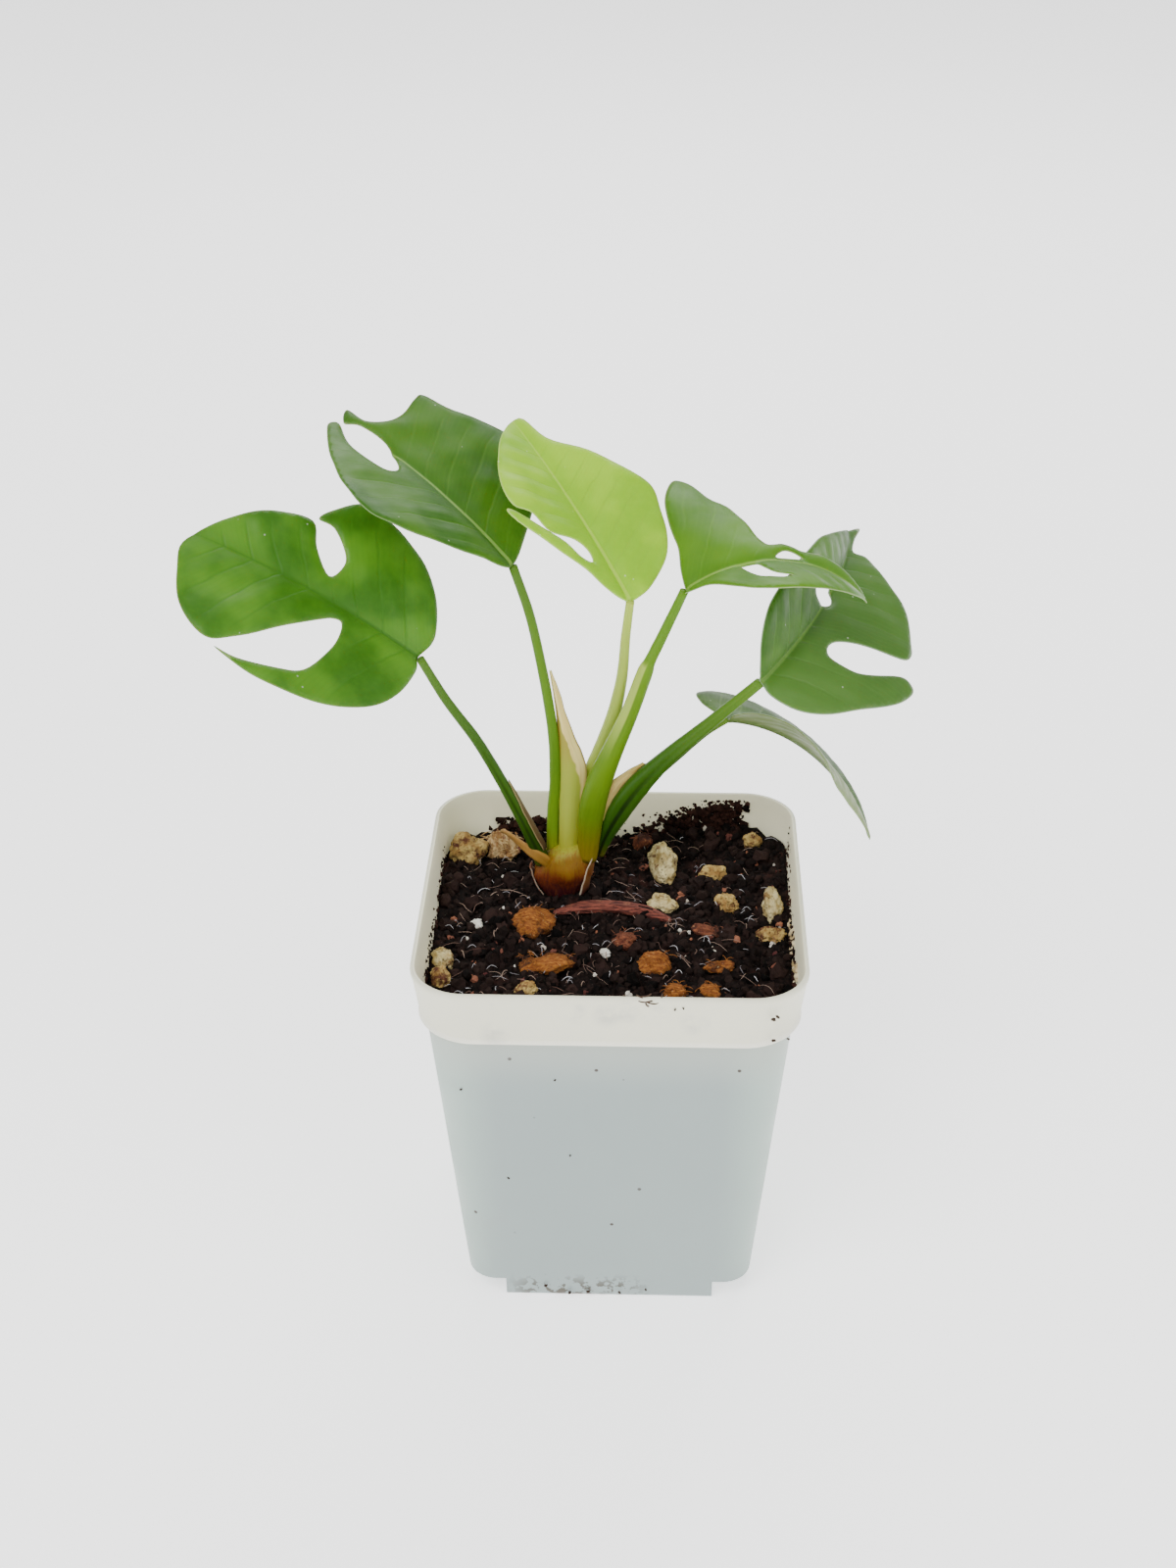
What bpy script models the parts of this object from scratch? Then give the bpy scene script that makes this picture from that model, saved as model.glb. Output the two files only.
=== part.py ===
"""A young fenestrated aroid houseplant in its square translucent nursery pot.

Z is up, and the pot stands on z = 0 with its middle on the Z axis. Sizes are written in millimetres
and scaled to metres when the meshes are made.
"""

import math

import bmesh
import bpy
from mathutils import Vector, geometry, noise

MM = 0.001

# Pot
POT_HEIGHT = 76.0
RIM_HALF = 35.0
RIM_RADIUS = 9.9
BAND_FOOT_HALF = 33.9
BAND_FOOT_RADIUS = 10.6
BAND_HEIGHT = 11.2
BODY_TOP_HALF = 32.4
BODY_TOP_RADIUS = 7.3
BODY_FOOT_HALF = 26.6
BODY_FOOT_RADIUS = 5.5
WALL = 0.9
FLOOR = 1.3
NOTCH_WIDTH = 7.0
NOTCH_HEIGHT = 4.3
SHELF = 1.1
DRAIN_HOLE_RADIUS = 1.7
DRAIN_HOLE_AT = 20.6
CORNER_POINTS = 7

# Soil
SOIL_LEVEL = 66.4
SOIL_HEAP = 2.2
SOIL_GAP = 0.35
SOIL_STEP = 2.9
SOIL_SIDE = 9

# Crown of the plant, where all petioles start
CROWN = (-9.7, 14.0)
CROWN_FOOT = 66.0
CROWN_FLATTEN = 0.76

# Blades
BLADE_THICKNESS = 0.42
BLADE_STEP = 3.3
STEM_GAP = 0.45


def clear_scene():
    for item in list(bpy.data.objects):
        bpy.data.objects.remove(item, do_unlink=True)


def material(name, colour, roughness=0.5, transmission=0.0):
    made = bpy.data.materials.new(name)
    made.use_nodes = True
    shader = made.node_tree.nodes["Principled BSDF"]
    shader.inputs["Base Color"].default_value = (*colour, 1.0)
    shader.inputs["Roughness"].default_value = roughness
    shader.inputs["Transmission Weight"].default_value = transmission
    return made


def mesh_object(name, points, faces, paint, smooth=True):
    mesh = bpy.data.meshes.new(name)
    mesh.from_pydata([tuple(c * MM for c in point) for point in points], [], faces)
    mesh.validate()
    if smooth:
        mesh.polygons.foreach_set("use_smooth", [True] * len(mesh.polygons))
    mesh.update()
    made = bpy.data.objects.new(name, mesh)
    bpy.context.scene.collection.objects.link(made)
    if paint is not None:
        made.data.materials.append(paint)
    return made


def hide(cutter):
    cutter.hide_render = True
    cutter.display_type = "WIRE"
    return cutter


def boolean(target, cutter, operation="DIFFERENCE"):
    modifier = target.modifiers.new(operation.lower(), "BOOLEAN")
    modifier.operation = operation
    modifier.solver = "EXACT"
    modifier.object = cutter


def rounded_square(half, radius, z, between=0):
    """Ring of points round a square with rounded corners, counter-clockwise seen from above."""
    ring = []
    for corner in range(4):
        middle = math.radians(45 + 90 * corner)
        cx = math.copysign(half - radius, math.cos(middle))
        cy = math.copysign(half - radius, math.sin(middle))
        for step in range(CORNER_POINTS):
            angle = math.radians(90 * corner + 90 * step / (CORNER_POINTS - 1))
            ring.append((cx + radius * math.cos(angle), cy + radius * math.sin(angle), z))
        for step in range(between):
            along = (half - radius) * (1 - 2 * (step + 1) / (between + 1))
            side = ((along, half), (-half, along), (-along, -half), (half, -along))[corner]
            ring.append((*side, z))
    return ring


def loft(rings):
    """Closed body through rings of equal count, from the lowest ring to the highest."""
    count = len(rings[0])
    points = [point for ring in rings for point in ring]
    faces = [tuple(reversed(range(count)))]
    for level in range(len(rings) - 1):
        low = level * count
        for i in range(count):
            j = (i + 1) % count
            faces.append((low + i, low + j, low + count + j, low + count + i))
    last = (len(rings) - 1) * count
    faces.append(tuple(range(last, last + count)))
    return points, faces


def circle(radius, z, count, cx=0.0, cy=0.0):
    turns = [2 * math.pi * i / count for i in range(count)]
    return [(cx + radius * math.cos(t), cy + radius * math.sin(t), z) for t in turns]


def corner_blocks(name, reach, size, z0, z1):
    """Four square blocks, one in each corner, joined in one mesh."""
    points = []
    faces = []
    for sx in (-1, 1):
        for sy in (-1, 1):
            xs = sorted((sx * (reach - size), sx * (reach + 4)))
            ys = sorted((sy * (reach - size), sy * (reach + 4)))
            ring = [(xs[0], ys[0]), (xs[1], ys[0]), (xs[1], ys[1]), (xs[0], ys[1])]
            new_points, new_faces = loft([[(x, y, z) for x, y in ring] for z in (z0, z1)])
            faces += [tuple(len(points) + i for i in face) for face in new_faces]
            points += new_points
    return mesh_object(name, points, faces, None, smooth=False)


def drain_pins(name, z0, z1):
    points = []
    faces = []
    for sx in (-1, 1):
        for sy in (-1, 1):
            at = (sx * DRAIN_HOLE_AT, sy * DRAIN_HOLE_AT)
            rings = [circle(DRAIN_HOLE_RADIUS, z, 16, *at) for z in (z0, z1)]
            new_points, new_faces = loft(rings)
            faces += [tuple(len(points) + i for i in face) for face in new_faces]
            points += new_points
    return mesh_object(name, points, faces, None, smooth=False)


def make_pot(paint):
    band_foot = POT_HEIGHT - BAND_HEIGHT
    outer = [
        rounded_square(BODY_FOOT_HALF - 0.5, BODY_FOOT_RADIUS, 0.0),
        rounded_square(BODY_FOOT_HALF, BODY_FOOT_RADIUS, 0.6),
        rounded_square(BODY_TOP_HALF, BODY_TOP_RADIUS, band_foot - 0.2),
        rounded_square(BODY_TOP_HALF + 0.3, BODY_TOP_RADIUS + 0.6, band_foot),
        rounded_square(BAND_FOOT_HALF - 0.2, BAND_FOOT_RADIUS - 0.2, band_foot + 0.1),
        rounded_square(BAND_FOOT_HALF, BAND_FOOT_RADIUS, band_foot + 0.5),
        rounded_square(BAND_FOOT_HALF - 0.1, BAND_FOOT_RADIUS, band_foot + 1.2),
        rounded_square(RIM_HALF - 0.25, RIM_RADIUS, POT_HEIGHT - 1.4),
        rounded_square(RIM_HALF, RIM_RADIUS, POT_HEIGHT - 0.9),
        rounded_square(RIM_HALF - 0.05, RIM_RADIUS, POT_HEIGHT - 0.3),
        rounded_square(RIM_HALF - 0.4, RIM_RADIUS - 0.3, POT_HEIGHT),
    ]
    pot = mesh_object("pot", *loft(outer), paint)
    inner = [
        rounded_square(BODY_FOOT_HALF - WALL - 0.2, BODY_FOOT_RADIUS - 0.9, FLOOR),
        rounded_square(BODY_TOP_HALF - WALL, BODY_TOP_RADIUS - 0.7, band_foot - 0.9),
        rounded_square(BAND_FOOT_HALF - WALL, BAND_FOOT_RADIUS - 0.8, band_foot + 0.3),
        rounded_square(RIM_HALF - 0.25 - WALL, RIM_RADIUS - 0.8, POT_HEIGHT - 1.4),
        rounded_square(RIM_HALF - WALL, RIM_RADIUS - 0.8, POT_HEIGHT - 0.4),
        rounded_square(RIM_HALF - WALL + 0.2, RIM_RADIUS - 0.6, POT_HEIGHT + 1.0),
    ]
    cavity = hide(mesh_object("pot_cavity", *loft(inner), None))
    shelf_top = NOTCH_HEIGHT + SHELF
    shelves = hide(corner_blocks("pot_shelves", BODY_FOOT_HALF, NOTCH_WIDTH + WALL, 0.5, shelf_top))
    notches = hide(corner_blocks("pot_notches", BODY_FOOT_HALF, NOTCH_WIDTH, -1.0, NOTCH_HEIGHT))
    pins = hide(drain_pins("pot_drains", NOTCH_HEIGHT - 1.0, shelf_top + 1.0))
    boolean(cavity, shelves)
    boolean(pot, cavity)
    boolean(pot, notches)
    boolean(pot, pins)
    return pot


# Lumps on the soil: name, x, y, half sizes, turn in degrees, seed
LUMPS = (
    ("pumice_1", -29.0, 24.8, (3.3, 3.0, 3.2), 20, 1),
    ("dry_husk", -21.9, 27.2, (3.3, 3.0, 3.3), -10, 2),
    ("pumice_3", -30.6, -11.6, (1.8, 2.4, 1.8), 8, 3),
    ("pumice_4", 9.4, 21.8, (2.5, 5.0, 3.7), 15, 4),
    ("pumice_5", 9.3, 8.2, (2.7, 2.0, 1.9), -15, 5),
    ("pumice_6", 19.0, 18.0, (2.7, 1.8, 1.6), 5, 6),
    ("pumice_7", 21.5, 8.0, (1.9, 2.4, 2.0), 50, 7),
    ("pumice_8", 30.1, 6.6, (1.9, 3.9, 3.2), -4, 8),
    ("pumice_9", 29.4, -2.4, (2.6, 1.9, 1.7), 12, 9),
    ("pumice_10", 26.9, 27.6, (1.9, 1.7, 1.7), 0, 10),
    ("pumice_11", -15.0, -20.0, (2.1, 1.8, 1.5), 20, 15),
    ("pumice_12", -30.6, -17.4, (1.7, 2.3, 1.7), -6, 16),
    ("perlite_1", -25.3, 0.0, (1.2, 1.1, 1.1), 0, 11),
    ("perlite_2", -1.2, -8.8, (1.0, 0.9, 0.9), 0, 12),
)
# Chips: name, x, y, half sizes, turn, tilt, seed
CHIPS = (
    ("bark_chip_1", -14.6, -0.4, (3.7, 3.2, 1.9), 28, 10, 21),
    ("bark_chip_2", -12.0, -13.0, (5.3, 2.2, 1.3), -14, -8, 22),
    ("bark_chip_3", 7.9, -12.2, (2.8, 2.4, 1.7), 18, 12, 23),
    ("bark_chip_4", 2.5, -5.4, (2.1, 1.7, 1.2), 40, 6, 24),
    ("bark_chip_5", 17.4, -1.5, (2.6, 1.3, 0.8), -12, 10, 25),
    ("bark_chip_6", 11.8, -20.6, (1.9, 1.5, 1.1), 10, 0, 26),
    ("bark_chip_7", 19.5, -13.0, (2.5, 1.2, 0.8), 5, -6, 27),
    ("bark_chip_8", 5.2, 28.6, (1.7, 1.4, 1.6), 30, 4, 28),
    ("bark_chip_9", 17.9, -21.0, (1.8, 1.4, 1.1), -15, 5, 29),
)
STRIP = ((-11.2, 4.4), (-5.5, 5.6), (1.0, 5.6), (6.3, 4.3), (11.0, 2.4))
STRIP_HALF_WIDTH = 1.2
STRIP_THICKNESS = 1.0


def soil_base_height(x, y):
    """Level of the mix, which is heaped up towards the back right corner."""
    rise = noise.noise(Vector((x * 0.07, y * 0.07, 3.0))) * 1.2
    fine = noise.noise(Vector((x * 0.35, y * 0.35, 9.0))) * 0.45
    heap = SOIL_HEAP * min(1.0, max(0.0, (x + y - 36.0) / 20.0))
    return SOIL_LEVEL + rise + fine + heap


def footprints():
    """Footprint of each thing that sits in the soil: x, y, half length, half width, turn, seat height."""
    prints = []
    for _, x, y, (rx, ry, rz), turn, _ in LUMPS:
        prints.append((x, y, rx + 1.5, ry + 1.5, turn, soil_base_height(x, y) - 0.45 * rz))
    for _, x, y, (rx, ry, _), turn, _, _ in CHIPS:
        prints.append((x, y, rx + 1.5, ry + 1.5, turn, soil_base_height(x, y) - 0.9))
    prints.append((CROWN[0], CROWN[1], 6.6, 5.2, 0, CROWN_FOOT - STEM_GAP))
    return prints


def inside_print(x, y, item, margin=1.0):
    px, py, rx, ry, turn, _ = item
    c = math.cos(math.radians(turn))
    s = math.sin(math.radians(turn))
    u = (c * (x - px) + s * (y - py)) / (rx * margin)
    v = (-s * (x - px) + c * (y - py)) / (ry * margin)
    return u * u + v * v < 1.0


def strip_seat():
    return min(soil_base_height(x, y) for x, y in STRIP) - 0.5


def soil_height(x, y, prints):
    height = soil_base_height(x, y)
    for item in prints:
        if inside_print(x, y, item, 1.25):
            height = min(height, item[5] - 0.4)
    for (x0, y0), (x1, y1) in zip(STRIP, STRIP[1:]):
        along = ((x - x0) * (x1 - x0) + (y - y0) * (y1 - y0)) / ((x1 - x0) ** 2 + (y1 - y0) ** 2)
        along = min(1.0, max(0.0, along))
        away = math.hypot(x - x0 - along * (x1 - x0), y - y0 - along * (y1 - y0))
        if away < STRIP_HALF_WIDTH + 3.0:
            height = min(height, strip_seat() - 0.3)
    return height


def make_soil(paint):
    """Block of potting mix: a round plug between the corner shelves, then the square taper of the pot."""
    band_foot = POT_HEIGHT - BAND_HEIGHT
    shelf_top = NOTCH_HEIGHT + SHELF + SOIL_GAP
    plug = BODY_FOOT_HALF - WALL - 0.2 - SOIL_GAP
    slope = (BODY_TOP_HALF - BODY_FOOT_HALF) / band_foot
    band_slope = (RIM_HALF - BAND_FOOT_HALF) / BAND_HEIGHT
    edge = BAND_FOOT_HALF - WALL - SOIL_GAP + band_slope
    prints = footprints()
    neck = BODY_TOP_HALF - WALL - SOIL_GAP - 0.1
    rings = [
        rounded_square(plug, plug - 0.05, FLOOR + SOIL_GAP, SOIL_SIDE),
        rounded_square(plug, plug - 0.05, shelf_top, SOIL_SIDE),
        rounded_square(plug + slope * 4.0, BODY_FOOT_RADIUS - 1.2, shelf_top + 0.05, SOIL_SIDE),
        rounded_square(neck, BODY_TOP_RADIUS - 1.0, band_foot - 1.2, SOIL_SIDE),
        rounded_square(edge - 0.3, BAND_FOOT_RADIUS - 1.2, band_foot + 0.6, SOIL_SIDE),
    ]
    border = rounded_square(edge - 0.25, BAND_FOOT_RADIUS - 1.2, 0.0, SOIL_SIDE)
    ring = [(x, y) for x, y, _ in border]
    rings.append([(x, y, max(band_foot + 0.9, soil_height(x, y, prints))) for x, y in ring])
    points, faces = loft(rings)
    faces.pop()
    first = len(points) - len(ring)
    flat = [Vector(p) for p in ring]
    reach = int(edge / SOIL_STEP) + 1
    for ix in range(-reach, reach + 1):
        for iy in range(-reach, reach + 1):
            x = ix * SOIL_STEP + 0.3 * (iy % 2)
            y = iy * SOIL_STEP
            corner = math.hypot(max(0.0, abs(x) - edge + 9.4), max(0.0, abs(y) - edge + 9.4))
            if corner < 9.4 - 1.3:
                flat.append(Vector((x, y)))
    edges = [(i, (i + 1) % len(ring)) for i in range(len(ring))]
    out = geometry.delaunay_2d_cdt(flat, edges, [], 1, 1e-5)
    index = {}
    for k, spot in enumerate(out[0]):
        source = out[3][k][0]
        if source < len(ring):
            index[k] = first + source
        else:
            index[k] = len(points)
            points.append((spot.x, spot.y, soil_height(spot.x, spot.y, prints)))
    for face in out[2]:
        faces.append(tuple(index[k] for k in face))
    return mesh_object("soil", points, faces, paint)


def icosphere(subdivisions):
    maker = bmesh.new()
    bmesh.ops.create_icosphere(maker, subdivisions=subdivisions, radius=1.0)
    points = [tuple(v.co) for v in maker.verts]
    faces = [tuple(v.index for v in face.verts) for face in maker.faces]
    maker.free()
    return points, faces


def make_lump(name, x, y, halves, turn, seed, paint):
    """Rounded gravel grain with facets, standing in its seat in the soil."""
    points, faces = icosphere(3 if halves[0] > 2.6 else 2)
    c = math.cos(math.radians(turn))
    s = math.sin(math.radians(turn))
    seat = soil_base_height(x, y) - 0.45 * halves[2]
    shaped = []
    for px, py, pz in points:
        bump = 1.0 + 0.16 * noise.noise(Vector((px * 1.3 + seed * 7.1, py * 1.3, pz * 1.3)))
        power = max(abs(px), abs(py), abs(pz)) ** -0.35
        u, v, w = (px * halves[0], py * halves[1], pz * halves[2])
        u, v, w = (u * bump * power * 0.9, v * bump * power * 0.9, w * bump * power * 0.9)
        shaped.append([c * u - s * v + x, s * u + c * v + y, w])
    low = min(p[2] for p in shaped)
    return mesh_object(name, [(p[0], p[1], p[2] - low + seat) for p in shaped], faces, paint)


def make_chip(name, x, y, halves, turn, tilt, seed, paint):
    """Flat broken chip of bark with uneven sides."""
    count = 12
    c = math.cos(math.radians(turn))
    s = math.sin(math.radians(turn))
    lean = math.tan(math.radians(tilt))
    rings = []
    for level, shrink in ((-1.0, 0.86), (-0.3, 1.0), (0.4, 0.97), (1.0, 0.8)):
        ring = []
        for i in range(count):
            turn_at = 2 * math.pi * i / count
            spot = Vector((math.cos(turn_at) * 1.4, math.sin(turn_at) * 1.4, seed * 3.7))
            wave = 1.0 + 0.22 * noise.noise(spot)
            u = halves[0] * math.cos(turn_at) * wave * shrink
            v = halves[1] * math.sin(turn_at) * wave * shrink
            w = halves[2] * level + lean * u * 0.5
            ring.append([c * u - s * v + x, s * u + c * v + y, w])
        rings.append(ring)
    low = min(p[2] for ring in rings for p in ring)
    seat = soil_base_height(x, y) - 0.9
    rings = [[(p[0], p[1], p[2] - low + seat) for p in ring] for ring in rings]
    return mesh_object(name, *loft(rings), paint)


def smooth_path(controls, steps):
    """Catmull-Rom curve through the control points, with steps pieces in each span."""
    ends = [[2 * a - b for a, b in zip(controls[0], controls[1])]]
    ends += [list(point) for point in controls]
    ends.append([2 * a - b for a, b in zip(controls[-1], controls[-2])])
    path = []
    for span in range(1, len(ends) - 2):
        p0, p1, p2, p3 = ends[span - 1 : span + 3]
        for step in range(steps):
            t = step / steps
            point = []
            for a, b, c, d in zip(p0, p1, p2, p3):
                value = 2 * b + (c - a) * t + (2 * a - 5 * b + 4 * c - d) * t * t
                point.append(0.5 * (value + (3 * b - a - 3 * c + d) * t * t * t))
            path.append(point)
    path.append(list(controls[-1]))
    return path


def path_frames(path):
    """Tangent and two normals at each point. The first normal stays level, pointing to the right."""
    frames = []
    for i in range(len(path)):
        before = Vector(path[max(0, i - 1)])
        after = Vector(path[min(len(path) - 1, i + 1)])
        tangent = (after - before).normalized()
        level = tangent.cross(Vector((0.0, 1.0, 0.0)))
        level = Vector((1.0, 0.0, 0.0)) if level.length < 0.05 else -level.normalized()
        level = (level - tangent * level.dot(tangent)).normalized()
        frames.append((tangent, level, tangent.cross(level)))
    return frames


def make_tube(name, controls, radii, paint, steps=3, sides=9):
    """Solid stalk along a path with a radius for each control point."""
    path = smooth_path([(*point, radius) for point, radius in zip(controls, radii)], steps)
    spots = [point[:3] for point in path]
    rings = []
    for (x, y, z, radius), (_, across, deep) in zip(path, path_frames(spots)):
        ring = []
        for i in range(sides):
            turn = 2 * math.pi * i / sides
            offset = across * (math.cos(turn) * radius) + deep * (math.sin(turn) * radius)
            ring.append((x + offset.x, y + offset.y, z + offset.z))
        rings.append(ring)
    points, faces = loft(rings)
    return outward(mesh_object(name, points, faces, paint))


def outward(made):
    """Turns every face outwards."""
    worker = bmesh.new()
    worker.from_mesh(made.data)
    bmesh.ops.recalc_face_normals(worker, faces=worker.faces)
    worker.to_mesh(made.data)
    worker.free()
    return made


def make_shell(name, controls, inner_radii, angles, paint, thickness=0.45, steps=4, sides=8):
    """Part of a tube wall along a path, from one angle to the other, as thin as a dry sheath."""
    keyed = [(*p, r, a0, a1) for p, r, (a0, a1) in zip(controls, inner_radii, angles)]
    path = smooth_path(keyed, steps)
    frames = path_frames([point[:3] for point in path])
    rings = []
    for (x, y, z, radius, a0, a1), (_, across, deep) in zip(path, frames):
        ring = []
        for layer, order in ((radius, 1), (radius + thickness, -1)):
            turns = [math.radians(a0 + (a1 - a0) * i / sides) for i in range(sides + 1)]
            for turn in turns[::order]:
                offset = across * (math.cos(turn) * layer) + deep * (math.sin(turn) * layer)
                ring.append((x + offset.x, y + offset.y, z + offset.z))
        rings.append(ring)
    points, faces = loft(rings)
    return outward(mesh_object(name, points, faces, paint))


class Blade:
    """Bent surface of one leaf: u runs along the midrib from its base, v to the left of the heading.

    Each half folds up from the midrib and curls in degrees for each 20 mm of v. Growth is added to the
    curl for each 10 mm of u.
    """

    def __init__(self, base, heading, length, bend, fold, curl, growth, twist):
        self.base = Vector(base)
        self.azimuth, self.pitch, self.roll = [math.radians(a) for a in heading]
        self.length = length
        self.bend = bend
        self.fold = fold
        self.curl = curl
        self.growth = growth
        self.twist = twist

    def axes(self):
        a, p, r = (self.azimuth, self.pitch, self.roll)
        along = Vector((math.cos(a) * math.cos(p), math.sin(a) * math.cos(p), math.sin(p)))
        level = Vector((-math.sin(a), math.cos(a), 0.0))
        up = along.cross(level)
        side = level * math.cos(r) + up * math.sin(r)
        return along, side, up * math.cos(r) - level * math.sin(r)

    def point(self, u, v):
        along, side, up = self.axes()
        steps = 16
        forward = 0.0
        drop = 0.0
        for step in range(steps):
            turn = math.radians(self.bend) * (u * (step + 0.5) / steps) / self.length
            forward += math.cos(turn) * u / steps
            drop += math.sin(turn) * abs(u) / steps * (1 if u >= 0 else -1)
        turn = math.radians(self.bend) * u / self.length
        lift = up * math.cos(turn) + along * math.sin(turn)
        twisted = math.radians(self.twist) * u / self.length
        left = side * math.cos(twisted) + lift * math.sin(twisted)
        top = lift * math.cos(twisted) - side * math.sin(twisted)
        half = 0 if v >= 0 else 1
        curl = self.curl[half] + self.growth[half] * max(u, 0.0) / 10.0
        across = 0.0
        rise = 0.0
        for step in range(steps):
            angle = math.radians(self.fold[half] + curl * abs(v) * (step + 0.5) / steps / 20.0)
            across += math.cos(angle) * v / steps
            rise += math.sin(angle) * abs(v) / steps
        return self.base + along * forward - up * drop + left * across + top * rise

    def normal(self, u, v):
        d = 0.2
        du = self.point(u + d, v) - self.point(u - d, v)
        dv = self.point(u, v + d) - self.point(u, v - d)
        return du.cross(dv).normalized()


def inside(u, v, ring):
    hit = False
    for (u0, v0), (u1, v1) in zip(ring, ring[1:] + ring[:1]):
        if (v0 > v) != (v1 > v) and u < (u1 - u0) * (v - v0) / (v1 - v0) + u0:
            hit = not hit
    return hit


def distance_to_ring(u, v, ring):
    nearest = 1e9
    for (u0, v0), (u1, v1) in zip(ring, ring[1:] + ring[:1]):
        long2 = (u1 - u0) ** 2 + (v1 - v0) ** 2
        t = ((u - u0) * (u1 - u0) + (v - v0) * (v1 - v0)) / long2 if long2 > 0 else 0.0
        t = min(1.0, max(0.0, t))
        nearest = min(nearest, math.hypot(u - u0 - t * (u1 - u0), v - v0 - t * (v1 - v0)))
    return nearest


def closed_curve(points, steps):
    """Smooth closed curve through the points."""
    ring = []
    count = len(points)
    for span in range(count):
        p0, p1, p2, p3 = [points[(span + k) % count] for k in (-1, 0, 1, 2)]
        for step in range(steps):
            t = step / steps
            spot = []
            for a, b, c, d in zip(p0, p1, p2, p3):
                value = 2 * b + (c - a) * t + (2 * a - 5 * b + 4 * c - d) * t * t
                spot.append(0.5 * (value + (3 * b - a - 3 * c + d) * t * t * t))
            ring.append(tuple(spot))
    return ring


def make_blade(name, blade, outline, holes, paint):
    """Thin leaf blade cut to its outline and holes, closed all round."""
    rings = [closed_curve(outline, 2)] + [closed_curve(hole, 2) for hole in holes]
    flat = []
    edges = []
    for ring in rings:
        start = len(flat)
        flat += [Vector(p) for p in ring]
        edges += [(start + i, start + (i + 1) % len(ring)) for i in range(len(ring))]
    for iu in range(-6, 30):
        for iv in range(-14, 15):
            u = iu * BLADE_STEP + (0.5 * BLADE_STEP if iv % 2 else 0.0)
            v = iv * BLADE_STEP * 0.87
            if not inside(u, v, rings[0]) or any(inside(u, v, hole) for hole in rings[1:]):
                continue
            if min(distance_to_ring(u, v, ring) for ring in rings) > 0.9:
                flat.append(Vector((u, v)))
    out = geometry.delaunay_2d_cdt(flat, edges, [], 1, 1e-5)
    kept = []
    for face in out[2]:
        u = sum(out[0][k].x for k in face) / len(face)
        v = sum(out[0][k].y for k in face) / len(face)
        if inside(u, v, rings[0]) and not any(inside(u, v, hole) for hole in rings[1:]):
            kept.append(tuple(face))
    used = sorted({k for face in kept for k in face})
    order = {k: i for i, k in enumerate(used)}
    upper = []
    lower = []
    for k in used:
        spot = blade.point(out[0][k].x, out[0][k].y)
        push = blade.normal(out[0][k].x, out[0][k].y) * (BLADE_THICKNESS / 2)
        upper.append(tuple(spot + push))
        lower.append(tuple(spot - push))
    count = len(used)
    faces = [tuple(order[k] for k in face) for face in kept]
    under = [tuple(count + order[k] for k in reversed(face)) for face in kept]
    sides = {}
    for face in faces:
        for a, b in zip(face, face[1:] + face[:1]):
            sides[(a, b)] = True
    walls = [(b, a, count + a, count + b) for a, b in sides if (b, a) not in sides]
    return outward(mesh_object(name, upper + lower, faces + under + walls, paint))


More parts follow.
